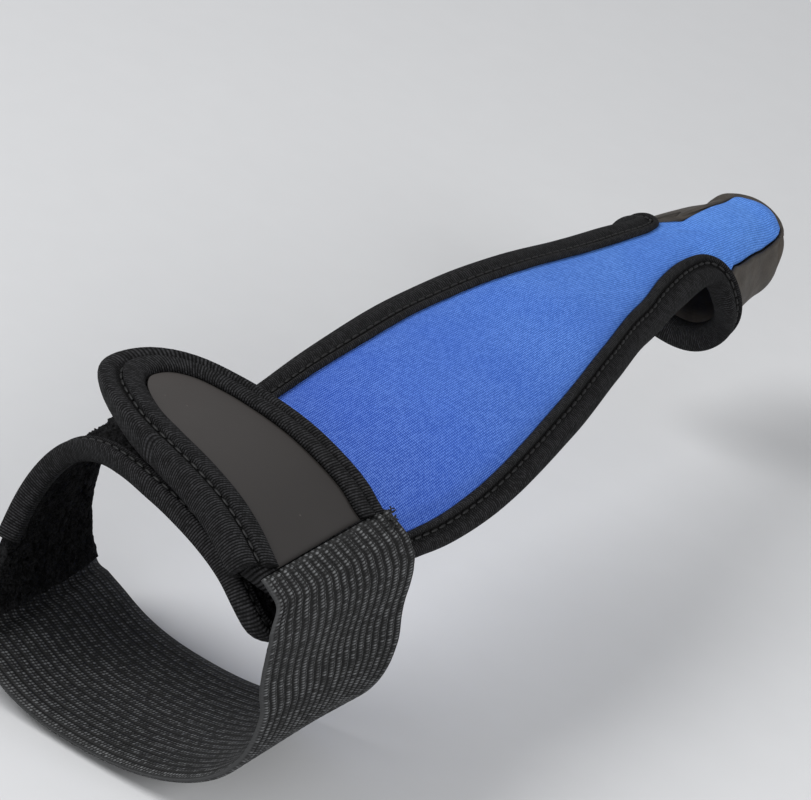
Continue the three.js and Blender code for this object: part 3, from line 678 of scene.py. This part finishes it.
class Finish:
    """A procedural material with one Principled shader"""

    def __init__(self, name, roughness, specular=0.5):
        self.material = bpy.data.materials.new(name)
        self.material.use_nodes = True
        self.tree = self.material.node_tree
        self.tree.nodes.clear()
        constants = {"Roughness": roughness, "Specular IOR Level": specular}
        self.shader = self.node("ShaderNodeBsdfPrincipled", {}, constants)
        self.node("ShaderNodeOutputMaterial", {}, {"Surface": self.shader.outputs[0]})
        self.place = self.node("ShaderNodeTexCoord", {}, {}).outputs["Object"]

    def node(self, kind, settings, inputs):
        """Adds a node with its settings, then its values and links"""
        node = self.tree.nodes.new(kind)
        for key, value in settings.items():
            setattr(node, key, value)
        for key, value in inputs.items():
            value = value.socket if isinstance(value, Signal) else value
            if isinstance(value, bpy.types.NodeSocket):
                self.tree.links.new(value, node.inputs[key])
            else:
                node.inputs[key].default_value = value
        return node

    def number(self, kind, settings, inputs):
        return Signal(self, self.node(kind, settings, inputs).outputs[0])

    def math(self, operation, *values, clamp=False):
        settings = {"operation": operation, "use_clamp": clamp}
        return self.number("ShaderNodeMath", settings, dict(enumerate(values)))

    def woven(self):
        """Metres across and along the piece's own weave"""
        spot = self.node("ShaderNodeUVMap", {"uv_map": "weave"}, {}).outputs[0]
        split = self.node("ShaderNodeSeparateXYZ", {}, {0: spot})
        return Signal(self, split.outputs[0]), Signal(self, split.outputs[1])

    def noise(self, size, detail=2):
        """Soft noise whose lumps are about size metres"""
        inputs = {"Vector": self.place, "Scale": 1 / size, "Detail": detail}
        return self.number("ShaderNodeTexNoise", {}, inputs)

    def random(self, column, row):
        """One random number for each cell of a weave"""
        cell = self.node("ShaderNodeCombineXYZ", {}, {0: column.floor(), 1: row.floor()}).outputs[0]
        return self.number("ShaderNodeTexWhiteNoise", {"noise_dimensions": "2D"}, {"Vector": cell})

    def blend(self, factor, first, second):
        """A colour between two colours"""
        inputs = {0: factor, 6: first, 7: second}
        return self.node("ShaderNodeMix", {"data_type": "RGBA"}, inputs).outputs[2]

    def cells(self, size):
        """Distance to the nearest of scattered points about size metres apart"""
        inputs = {"Vector": self.place, "Scale": 1 / size}
        return self.number("ShaderNodeTexVoronoi", {"feature": "F1"}, inputs)

    def coordinate(self, axis):
        """A coordinate of the object, in metres: 0 for X, 1 for Y, 2 for Z"""
        return Signal(self, self.node("ShaderNodeSeparateXYZ", {}, {0: self.place}).outputs[axis])

    def dress(self, colour, relief, depth, strength=1.0, roughness=None):
        """Links the colour, a bump of this depth in metres and the roughness"""
        bump = self.node("ShaderNodeBump", {}, {"Height": relief, "Distance": depth, "Strength": strength})
        self.tree.links.new(bump.outputs[0], self.shader.inputs["Normal"])
        self.tree.links.new(colour, self.shader.inputs["Base Color"])
        if roughness is not None:
            self.tree.links.new(roughness.socket, self.shader.inputs["Roughness"])
        return self.material


def scaled(colour, factor):
    """A colour made lighter or darker"""
    return tuple(value * factor for value in tuple(colour)[:3]) + (1,)


def knit_finish(colours):
    """Fine jersey over neoprene, lighter towards the tip with a painted highlight, and with painted light
    and shade on its stitches
    """
    knit = Finish("blue_knit", 0.85, 0.2)
    across, along = knit.woven()
    wales = across / KNIT_WALE
    courses = along / KNIT_COURSE + abs(wales.fraction() - 0.5) * 1.1
    relief = wales.arch() * courses.wave()
    tone = knit.random(wales, courses)
    # Painted highlight: the blue lightens from the wrist towards the tip
    tip_highlit_ground = knit.blend(knit.coordinate(1).ramp(0.03, 0.16), colours.wrist_blue, colours.finger_blue_highlit)
    # Painted light on the stitch tops and painted shade between the stitches, mixed with a random tone for
    # each stitch
    lit = knit.blend(0.26, tip_highlit_ground, (0.45, 0.68, 1, 1))
    shade = knit.blend(0.62, tip_highlit_ground, scaled(colours.wrist_blue, 0.2))
    yarn = knit.blend((relief * 0.78 + tone * 0.22).ramp(0.08, 0.8), shade, lit)
    cloudy_and_lit = knit.blend(knit.noise(14 * MM).ramp(0.35, 0.75) * 0.18, yarn, scaled(colours.wrist_blue, 0.8))
    return knit.dress(cloudy_and_lit, relief * 0.8 + tone * 0.2, 0.12 * MM, 0.7)


def tape_finish(colours, name, rib, groove):
    """Black binding tape with fine cross ribs broken into yarns, with painted light on the rib tops and
    painted shade in its sewn groove
    """
    tape = Finish(name, 0.85, 0.15)
    across, along = tape.woven()
    rows = along / rib
    yarns = across / TAPE_YARN + rows.floor() * 0.5
    relief, yarn = rows.arch(), yarns.arch()
    tone = tape.random(yarns, rows)
    # Painted light on the rib tops and painted shade between the ribs, with a random tone for each yarn
    lit = (relief * (yarn * 0.3 + 0.7) * (tone * 0.5 + 0.5)).ramp(0.25, 0.8)
    bright = tape.blend(lit, scaled(colours.tape, 0.25), scaled(colours.tape, 10))
    # Lighter patches of wear at random over the painted rib light
    wear_and_painted_light = tape.blend(tape.noise(2.2 * MM, 3).ramp(0.55, 0.8) * 0.3, bright, scaled(colours.tape, 5))
    # Painted shade darkens the tape in its sewn groove
    shaded = tape.blend(abs(across).ramp(0.25 * MM, groove), scaled(colours.tape, 0.2), wear_and_painted_light)
    return tape.dress(shaded, relief * (yarn * 0.4 + 0.6), 0.25 * MM, 1.0)


def elastic_finish(colours, ribs, width):
    """Ribbed elastic: slanted stitches run up each rib, with painted light on their tops and painted shade
    between them
    """
    elastic = Finish("ribbed_elastic", 0.72, 0.35)
    across, along = elastic.woven()
    ribbed = across / (width / ribs)
    strands = ribbed * 2
    slant = along / ELASTIC_STITCH + strands.fraction() * 0.5 + strands.floor() * 0.5
    rib, cord, bead = ribbed.arch(), strands.arch(), slant.arch()
    tone = elastic.random(strands, slant)
    # Painted light on the tops of the ribs and stitches, and painted shade between them, with a random tone
    light = (rib ** 1.5 * cord ** 0.6 * bead * (tone * 0.7 + 0.5)).ramp(0.25, 0.85)
    woven = elastic.blend(light, scaled(colours.elastic, 0.06), scaled(colours.elastic, 3.8))
    selvedge = abs(across / width - 0.5).ramp(0.487, 0.493)
    colour = elastic.blend(selvedge * 0.7, woven, scaled(colours.elastic, 1.5))
    return elastic.dress(colour, rib * 0.6 + cord * bead * 0.4, 0.3 * MM, 0.9)


def leather_finish(colours):
    """Matt synthetic leather, mottled, with a fine grain"""
    leather = Finish("stall_leather", 0.7, 0.35)
    mottle = leather.noise(5 * MM, 4).ramp(0.32, 0.72)
    grain = leather.noise(0.5 * MM, 4)
    pores = leather.cells(0.7 * MM)
    base = leather.blend(mottle, scaled(colours.leather, 0.62), scaled(colours.leather, 1.35))
    colour = leather.blend(grain.ramp(0.4, 0.75) * 0.35, base, scaled(colours.leather, 1.7))
    shine = leather.noise(3 * MM) * 0.25 + 0.55
    return leather.dress(colour, grain * 0.6 + pores * 0.4, 0.10 * MM, 0.7, shine)


def rubber_finish(colours):
    """Soft coated face of the tab, with a faint grain, a few specks and a painted sheen that is lighter
    towards the tab's tip
    """
    rubber = Finish("tab_rubber", 0.46, 0.45)
    grain = rubber.noise(0.22 * MM, 3)
    cloud = rubber.noise(9 * MM, 2).ramp(0.3, 0.7)
    speck = rubber.cells(3.2 * MM)
    # Painted sheen: the face is lighter towards the tab's tip at -X and darker towards the strap at +X
    side = rubber.coordinate(0).ramp(-0.02, 0.02)
    painted_sheen = rubber.blend(side, scaled(colours.rubber, 1.25), scaled(colours.rubber, 0.6))
    base = rubber.blend(cloud * 0.35, painted_sheen, scaled(colours.rubber, 0.72))
    wear_and_painted_light = rubber.blend((0.05 - speck).ramp(0.0, 0.02) * 0.5, base, scaled(colours.rubber, 4))
    return rubber.dress(wear_and_painted_light, grain, 0.03 * MM, 0.5, rubber.noise(6 * MM) * 0.12 + 0.40)


def pile_finish(colours):
    """Fuzzy black loop pile"""
    pile = Finish("rough_pile", 0.95, 0.1)
    fuzz = pile.noise(0.35 * MM, 4)
    tufts = pile.noise(1.4 * MM, 2)
    matted = fuzz * 0.6 + tufts * 0.4
    colour = pile.blend(matted.ramp(0.42, 0.62), scaled(colours.tape, 0.4), scaled(colours.tape, 5))
    return pile.dress(colour, matted, 0.5 * MM, 1.0)


def thread_finish(colours):
    """Sewing thread with a fine twist"""
    thread = Finish("black_thread", 0.6, 0.4)
    twist = thread.noise(0.25 * MM, 2)
    colour = thread.blend(twist.ramp(0.35, 0.65), scaled(colours.tape, 0.6), scaled(colours.tape, 3.2))
    return thread.dress(colour, twist, 0.08 * MM, 0.6)


def hook_finish(colours):
    """Stubble of moulded hooks"""
    hook = Finish("moulded_hooks", 0.5, 0.4)
    across, along = hook.woven()
    stub = (along / (1.1 * MM)).wave() * (across / (0.9 * MM)).wave()
    colour = hook.blend(stub.ramp(0.3, 0.9), scaled(colours.tape, 0.4), scaled(colours.tape, 2.4))
    return hook.dress(colour, stub, 0.4 * MM, 1.0)


def glove_material(name, make, *arguments):
    """A finish that several pieces share, made once"""
    return bpy.data.materials.get(name) or make(*arguments)


class GLOVE_OT_panel(Operator):
    """Make the blue knitted panel, crowned between its tapes"""

    bl_idname = "glove.panel"
    bl_label = "Back Panel"

    def execute(self, context):
        pattern = Pattern(context.scene)
        form, cloth = pattern.form, pattern.cloth

        def lay(across, along):
            end = pattern.panel_end(across)
            place = pattern.panel_start + (end - pattern.panel_start) * along
            little = pattern.side(pattern.little_chain, place)
            thumb = pattern.side(pattern.thumb_chain, place)
            around = little + (thumb - little) * across
            level = np.minimum(place, form.tip_start)
            girth = (form.scale(level, little * 0.5)[1] + form.scale(level, thumb * 0.5)[1]) / 2
            width = girth * (thumb - little)
            edge = np.minimum(across, 1 - across) * width
            crown = PANEL_CROWN * smooth_step(EDGE_INSERT, EDGE_INSERT + 2.5 * MM, edge)
            past_mouth = smooth_step(0.82, 0.86, along)
            crown = crown * (1 - past_mouth) + TIP_CROWN * smooth_step(0, 1.6 * MM, edge) * past_mouth
            rim = np.minimum(np.where(past_mouth > 0.5, edge, np.inf), end - place)
            tuck = -PANEL_TUCK * (1 - smooth_step(0, 0.7 * MM, rim))
            weave = np.stack((around * girth, place), -1)
            return form.point(place, around, cloth.panel + crown + tuck), weave

        piece = laid_grid("knit_panel", 300, 70, lay)
        thicken(piece, cloth.panel - WALL_LESS)
        material = glove_material("blue_knit", knit_finish, context.scene.glove_colours)
        finish_piece(piece, "blue_neoprene", material, "back_panel")
        return {"FINISHED"}


class GLOVE_OT_stall(Operator):
    """Make the leather underside and tip of the stall, with its raised double rim"""

    bl_idname = "glove.stall"
    bl_label = "Leather Stall"

    def execute(self, context):
        pattern = Pattern(context.scene)
        form, cloth = pattern.form, pattern.cloth
        leather_columns, end_columns, open_rows, ring_rows = 110, 40, 60, 44
        columns, rows = leather_columns + end_columns, open_rows + ring_rows
        turn_share, ring_share = leather_columns / columns, open_rows / rows
        thumb_end = pattern.panel_place(*THUMB_SEAM[-1])[0]
        little_end = pattern.panel_place(*LITTLE_SEAM[-1])[0]
        mouth = pattern.mouth
        little_angle, thumb_angle = (math.radians(seam[-1][1]) for seam in (LITTLE_SEAM, THUMB_SEAM))

        def keep(across, along):
            return across < turn_share or along > ring_share

        def lay(across, along):
            part = np.clip(across / turn_share, 0, 1)
            side = np.minimum(part, 1 - part)
            over = np.clip((across - turn_share) / (1 - turn_share), 0, 1)
            reach = np.clip(along / ring_share, 0, 1)
            closing = np.clip((along - ring_share) / (1 - ring_share), 0, 1)
            angle = mouth[0, 1] + (mouth[-1, 1] - mouth[0, 1]) * part
            start = np.interp(angle, np.maximum.accumulate(mouth[:, 1]), mouth[:, 0])
            end = thumb_end + (little_end - thumb_end) * part
            place = start + (end - start) * reach
            thumb = pattern.side(pattern.thumb_chain, place)
            little = pattern.side(pattern.little_chain, place) + TURN
            gap = cloth.gap / form.scale(np.minimum(place, form.tip_start), thumb)[1]
            gap = gap * smooth_step(1, 0.9, reach) * smooth_step(0.12, 0.3, reach)
            around = thumb + gap + (little - thumb - 2 * gap) * part
            back = over > 0
            over_around = little_angle + (thumb_angle - little_angle) * over + TURN
            over_place = pattern.panel_end(over) + cloth.gap * np.minimum(1, 8 * np.minimum(over, 1 - over))
            place = np.where(back, over_place, place)
            around = np.where(back, over_around, around)
            ring = place + (form.pole - place) * closing
            seam = side * form.scale(np.minimum(place, form.tip_start), around)[1] * LEATHER_TURN
            beside = np.where(back | (closing > 0), 0, seam)
            bead = 0
            for begin, width, height, steep in RIM_BEADS:
                past = np.clip((ring - over_place - begin) / width, 0, 1)
                bead = bead + height * np.sin(past * math.pi) ** steep
            bead = bead * np.where(back, 1, smooth_step(0.14, 0.02, side)) * (closing > 0)
            welt = WELT * (1 - smooth_step(0.3 * MM, 1.5 * MM, beside)) * (beside > 0)
            lift = PAD_TOP + bead + welt
            return form.point(ring, around, lift), np.stack((around * 10 * MM, ring), -1)

        piece = laid_grid("leather_stall", rows, columns, lay, keep, joined=True)
        thicken(piece, cloth.pad)
        material = glove_material("stall_leather", leather_finish, context.scene.glove_colours)
        finish_piece(piece, "pad_leather", material, "finger_pad")
        return {"FINISHED"}


class GLOVE_OT_tapes(Operator):
    """Make the ribbed tapes on the panel, the band and the tab, with their stitches"""

    bl_idname = "glove.tapes"
    bl_label = "Binding Tapes"

    def execute(self, context):
        pattern = Pattern(context.scene)
        cloth, tape, colours = pattern.cloth, pattern.tape, context.scene.glove_colours
        hem = pattern.hem[pattern.hem[:, 1] > math.radians(HEM_START)]
        rows = (
            ("edge", "edge_binding", pattern.lip, None, (
                tape.thickness, cloth.panel, 0, tape.edge_lip * 0.65, EDGE_GROOVE, tape.edge_width,
                EDGE_INSERT, tape.edge_lip * 0.6, cloth.gap, 0.1, 0.7)),
            ("band", "band_binding", hem, None, (
                tape.hem_thickness, cloth.band, cloth.band_lift, HEM_LIP, HEM_GROOVE, tape.hem_width,
                HEM_INSERT, 0.6 * MM, cloth.gap, 0, 0.7)),
            ("tab", "tab_binding", pattern.tab_line, pattern.tip_rise, (
                tape.thickness, cloth.tab, pattern.tab_lift, tape.tab_lip, TAB_GROOVE, tape.tab_width,
                TAB_INSERT, tape.tab_lip, cloth.gap, 0.7, 0.15)),
        )
        ribbed = glove_material("binding_tape", tape_finish, colours, "binding_tape", TAPE_RIB, 0.9 * MM)
        thread = glove_material("black_thread", thread_finish, colours)
        for name, node, line, raised, sizes in rows:
            piece = tape_piece(pattern, f"{name}_tape", line, tape_profile(*sizes), raised)
            finish_piece(piece, "black_tape", ribbed, node)
            thickness, body, under, lip, groove = sizes[:5]
            lift = under + body + cloth.gap + thickness * 0.3
            stitches = stitch_row(
                pattern, f"{name}_stitches", line, lip + groove / 2, lift, tape.stitch, 0.3 * MM, raised)
            finish_piece(stitches, "black_tape", thread)
        return {"FINISHED"}


class GLOVE_OT_band(Operator):
    """Make the loop band with its rough pile"""

    bl_idname = "glove.band"
    bl_label = "Loop Band"

    def execute(self, context):
        pattern = Pattern(context.scene)
        form, cloth = pattern.form, pattern.cloth
        along, around = form.sideways(pattern.hem, [HEM_INSERT])
        edge_along, edge_around = along[:, 0], np.maximum.accumulate(around[:, 0])
        draw = np.random.default_rng(5)
        rows, columns = 330, 84
        lumps = draw.normal(0, 1, (rows + 3, columns + 3))
        beside = lumps[:-2, 1:-1] + lumps[2:, 1:-1] + lumps[1:-1, :-2] + lumps[1:-1, 2:]
        lumps = (lumps[1:-1, 1:-1] * 2 + beside) / 4

        def lay(across, along_share):
            angle = edge_around[0] + (edge_around[-1] - edge_around[0]) * along_share
            start = np.interp(angle, edge_around, edge_along)
            place = start + (BAND_DISTAL_EDGE - start) * across
            row, column = np.rint(along_share * rows).astype(int), np.rint(across * columns).astype(int)
            inside = smooth_step(0, 1.5 * MM, BAND_DISTAL_EDGE - place)
            inside *= smooth_step(0, 2 * MM, place - start)
            inside *= smooth_step(0, 0.02, np.minimum(along_share, 1 - along_share))
            pile = PILE_HEIGHT * lumps[row, column] * inside
            return (
                form.point(place, angle, cloth.band_lift + cloth.band + pile),
                np.stack((place, angle * 30 * MM), -1))

        piece = laid_grid("pile_band", rows, columns, lay)
        thicken(piece, cloth.band)
        material = glove_material("rough_pile", pile_finish, context.scene.glove_colours)
        finish_piece(piece, "loop_pile", material, "loop_band")
        return {"FINISHED"}


class GLOVE_OT_tab(Operator):
    """Make the padded closing tab, its bare face and the hook tape under it"""

    bl_idname = "glove.tab"
    bl_label = "Closing Tab"

    def tongue(self, pattern, name, distance, top, thickness, dip, crown, open_end=None):
        """A crowned layer inside the tab's outline"""
        form = pattern.form
        along, around = form.sideways(pattern.tab_line, [distance])
        outline = np.hstack((along, around))
        if open_end is not None:
            ends = [(place[0], math.radians(open_end)) for place in (outline[0], outline[-1])]
            outline = np.vstack((ends[:1], outline, ends[1:]))
        rows = (len(outline) - 1) // 2
        far, near = outline[:rows + 1], outline[::-1][:rows + 1]

        def lay(across, along_share):
            row = np.rint(along_share * rows).astype(int)
            place = far[row] + (near[row] - far[row]) * across[:, None]
            centre, half = pattern.strap_row(np.degrees(place[:, 1]))[:2]
            hidden = smooth_step(math.radians(SEAM_ANGLE - 1.5), math.radians(SEAM_ANGLE), place[:, 1])
            reach = half + (0.1 - half) * (1 - hidden)
            place[:, 0] = np.clip(
                place[:, 0], centre - reach + TAB_SIDE * hidden, centre + reach - MM * hidden)
            chord = np.linalg.norm((far[row] - near[row]) * (1, form.girth * 1.4), axis=1)
            tip = (1 - along_share) * 42 * MM
            edge = np.minimum(np.minimum(across, 1 - across) * chord, tip)
            lift = top + pattern.tip_rise(place[:, 1])
            lift += crown * smooth_step(0, 9 * MM, edge) - dip * (1 - smooth_step(0, 1.4 * MM, edge))
            return form.point(place[:, 0], place[:, 1], lift), place * (1, form.girth * 1.4)

        piece = laid_grid(name, rows, 40, lay, joined=True)
        thicken(piece, thickness)
        return piece

    @staticmethod
    def cut_size(piece):
        """Length, greatest width and area of a laid layer"""
        spots = np.array([spot.uv for spot in piece.data.uv_layers["weave"].data])
        width, length = np.ptp(spots, axis=0)
        return float(length), float(width), sum(face.area for face in piece.data.polygons)

    def execute(self, context):
        pattern = Pattern(context.scene)
        cloth, colours = pattern.cloth, context.scene.glove_colours
        body = self.tongue(
            pattern, "tab_padding", TAB_INSERT, pattern.tab_lift + cloth.tab, cloth.tab, 0.2 * MM, 0,
            TAB_END_ANGLE)
        fabric = glove_material("tab_fabric", tape_finish, colours, "tab_fabric", TAB_RIB, 0.3 * MM)
        finish_piece(body, "black_fabric", fabric, "closure_tab")
        face = self.tongue(
            pattern, "tab_cover", -cloth.gap, pattern.face_lift + cloth.face * 0.6, cloth.face * 0.6, 0, 0)
        finish_piece(face, "grey_rubber", glove_material("tab_rubber", rubber_finish, colours), "tab_face")
        hook = self.tongue(
            pattern, "hook_stubble", -1.5 * MM, pattern.band_top + cloth.hook, cloth.hook, 0.1 * MM, 0)
        finish_piece(hook, "hook_tape", glove_material("moulded_hooks", hook_finish, colours), "hook_patch")
        return {"FINISHED"}


class GLOVE_OT_strap(Operator):
    """Make the ribbed elastic strap, its bar tack and its loose thread ends"""

    bl_idname = "glove.strap"
    bl_label = "Elastic Strap"

    def webbing(self, pattern, angles):
        """The ribbed elastic swept round the form, and its length"""
        form, strap = pattern.form, pattern.strap
        centre, half, height = pattern.strap_row(angles)
        padded = np.pad(height, 30, mode="edge")
        bridged = np.convolve(padded, np.hanning(61) / np.hanning(61).sum(), mode="valid")
        height = np.maximum(height, bridged)
        share = np.linspace(0, 1, strap.ribs * 6 + 1)
        edge = np.minimum(share, 1 - share) * strap.width
        rib = np.abs(np.sin(math.pi * strap.ribs * share)) ** 1.1
        top = pattern.cloth.strap * (0.52 + 0.48 * rib) * (0.55 + 0.45 * smooth_step(0, 0.5 * MM, edge))
        under = np.linspace(1, 0, 14)[1:-1]
        across = np.concatenate((share, under))
        section = np.concatenate((top, np.zeros(len(under))))
        run = run_along(form.point(centre, np.radians(angles), height))
        folded = 0.35 + 0.65 * np.sqrt(smooth_step(0, 0.9 * MM, run))
        turns, shifts = np.array(SELVEDGE, float).T
        pulled = np.interp(angles, turns, shifts)[:, None] * MM * smooth_step(0.5, 0, across)
        along = centre[:, None] + half[:, None] * (2 * across - 1) + pulled
        rolled = smooth_step(0.075, 0, across) * smooth_step(14 * MM, 3 * MM, run)[:, None]
        lift = height[:, None] + section * folded[:, None] + CURL * rolled
        corners = form.point(along, np.radians(angles)[:, None], lift)
        weave = np.stack(np.broadcast_arrays(np.append(across, 0) * strap.width, run[:, None]), -1)
        return closed_sweep("elastic_webbing", corners, weave), float(run[-1])

    def execute(self, context):
        pattern = Pattern(context.scene)
        cloth, strap, colours = pattern.cloth, pattern.strap, context.scene.glove_colours
        angles = np.linspace(STRAP_ROWS[0][0], STRAP_ROWS[-1][0], 420)
        piece, length = self.webbing(pattern, angles)
        material = glove_material("ribbed_elastic", elastic_finish, colours, strap.ribs, strap.width)
        finish_piece(piece, "black_elastic", material, "elastic_strap")

        thread = glove_material("black_thread", thread_finish, colours)
        for row, angle in enumerate((angles[-1] - 1.2, angles[-1] - 5.5)):
            middle, side, level = (float(value) for value in pattern.strap_row(angle))
            line = pattern.form.smooth_line([
                (middle + side * share, math.radians(angle)) for share in (-0.93, -0.3, 0.3, 0.93)
            ], MM)
            lift = level + cloth.strap * 0.95
            stitches = stitch_row(
                pattern, f"lap_stitches_{row}", line, 0, lift, pattern.tape.stitch, 0.25 * MM)
            finish_piece(stitches, "black_elastic", thread)

        middle, side = (float(value) for value in pattern.strap_row(angles[0])[:2])
        corner, lift = middle + side, pattern.face_lift + cloth.strap
        tack = [
            (corner - 1.2 * MM - step * 0.55 * MM, SEAM_ANGLE + 2.5 + turn, lift + 0.1 * MM)
            for step in range(5) for turn in (0, 2.2)
        ]
        ends = [
            (corner - 0.4 * MM, SEAM_ANGLE + 0.6 + 0.22 * step, lift - (0.25 + 0.05 * step) * MM)
            for step in range(14)
        ]
        tack = thread_ends(pattern, "bar_tack", tack, 0.9 * MM, 0.16 * MM, 3)
        finish_piece(tack, "black_elastic", thread)
        frayed = thread_ends(pattern, "frayed_ends", ends, 1.1 * MM, 0.12 * MM, 8)
        finish_piece(frayed, "black_elastic", thread)
        return {"FINISHED"}


class GLOVE_OT_stage(Operator):
    """Set the floor, the soft studio lights and the camera"""

    bl_idname = "glove.stage"
    bl_label = "Stage"

    # Where the camera looks, in millimetres
    TARGET = (34.9, -6.5, 56.1)

    # Name, place from the glove's middle, size and power
    LIGHTS = (
        ("key_light", (-0.55, -0.45, 0.75), 0.55, 8.0),
        ("side_light", (0.75, -0.15, 0.55), 0.5, 4.5),
        ("front_light", (0.15, -0.9, 0.35), 0.5, 2.0),
    )

    def execute(self, context):
        scene, stage = context.scene, context.scene.glove_stage
        turn, reach = stage.azimuth, math.cos(stage.elevation)
        away = Vector((math.sin(turn) * reach, -math.cos(turn) * reach, math.sin(stage.elevation)))
        place = Matrix.Translation(Vector(self.TARGET) * MM + away * stage.distance)
        camera = bpy.data.objects.new("glove_camera", bpy.data.cameras.new("glove_camera"))
        camera.data.lens = stage.lens
        camera.data.sensor_width = 36
        camera.data.sensor_fit = "HORIZONTAL"
        camera.data.clip_start = 0.01
        level = (-away).to_track_quat("-Z", "Y").to_matrix().to_4x4()
        camera.matrix_world = place @ level @ Matrix.Rotation(stage.roll, 4, "Z")
        scene.collection.objects.link(camera)
        scene.camera = camera
        scene.view_settings.view_transform = "Standard"

        middle = (Vector(FRAME_LOW) + Vector(FRAME_HIGH)) / 2
        for name, place, size, power in self.LIGHTS:
            lamp = bpy.data.lights.new(name, "AREA")
            lamp.shape = "DISK"
            lamp.size = size
            lamp.energy = power
            light = bpy.data.objects.new(name, lamp)
            light.location = middle + Vector(place)
            light.rotation_euler = (-Vector(place)).to_track_quat("-Z", "Y").to_euler()
            scene.collection.objects.link(light)
        world = bpy.data.worlds.new("pale_studio")
        world.use_nodes = True
        sky = world.node_tree.nodes["Background"]
        sky.inputs["Color"].default_value = (0.93, 0.94, 0.96, 1)
        sky.inputs["Strength"].default_value = 0.40
        scene.world = world

        bm = bmesh.new()
        level = FRAME_LOW[2] - stage.floor_drop
        bmesh.ops.create_grid(
            bm, x_segments=8, y_segments=8, size=3, matrix=Matrix.Translation((0, 0, level)))
        floor = new_object("floor", bm)
        paint = Finish("pale_floor", 0.6)
        grain = paint.noise(8 * MM, 3)
        tone = paint.blend(grain, (0.58, 0.585, 0.595, 1), (0.60, 0.605, 0.615, 1))
        floor.data.materials.append(paint.dress(tone, grain, 0.02 * MM, 0.2))
        return {"FINISHED"}


class GLOVE_PT_sidebar(Panel):
    """Lists the glove's pieces and the stage"""

    bl_label = "Single-Finger Glove"
    bl_idname = "GLOVE_PT_sidebar"
    bl_space_type = "VIEW_3D"
    bl_region_type = "UI"
    bl_category = "Glove"

    def draw(self, context):
        for operator in OPERATORS:
            self.layout.operator(operator.bl_idname)
        for name in SETTINGS:
            settings = getattr(context.scene, name)
            box = self.layout.box()
            for key in settings.bl_rna.properties.keys():
                if key not in ("rna_type", "name"):
                    box.prop(settings, key)


OPERATORS = (
    GLOVE_OT_panel, GLOVE_OT_stall, GLOVE_OT_tapes, GLOVE_OT_band, GLOVE_OT_tab, GLOVE_OT_strap,
    GLOVE_OT_stage)
SETTINGS = {
    "glove_form": FormSizes,
    "glove_cloth": ClothSizes,
    "glove_tape": TapeSizes,
    "glove_strap": StrapSizes,
    "glove_colours": GloveColours,
    "glove_stage": StageSettings,
}


def register():
    for group in SETTINGS.values():
        bpy.utils.register_class(group)
    for name, group in SETTINGS.items():
        setattr(bpy.types.Scene, name, PointerProperty(type=group))
    for item in (*OPERATORS, GLOVE_PT_sidebar):
        bpy.utils.register_class(item)


def unregister():
    for item in (GLOVE_PT_sidebar, *reversed(OPERATORS)):
        bpy.utils.unregister_class(item)
    for name, group in reversed(SETTINGS.items()):
        delattr(bpy.types.Scene, name)
        bpy.utils.unregister_class(group)


def main():
    register()
    bpy.ops.glove.panel()
    bpy.ops.glove.stall()
    bpy.ops.glove.tapes()
    bpy.ops.glove.band()
    bpy.ops.glove.tab()
    bpy.ops.glove.strap()
    bpy.ops.glove.stage()


if __name__ == "__main__":
    main()
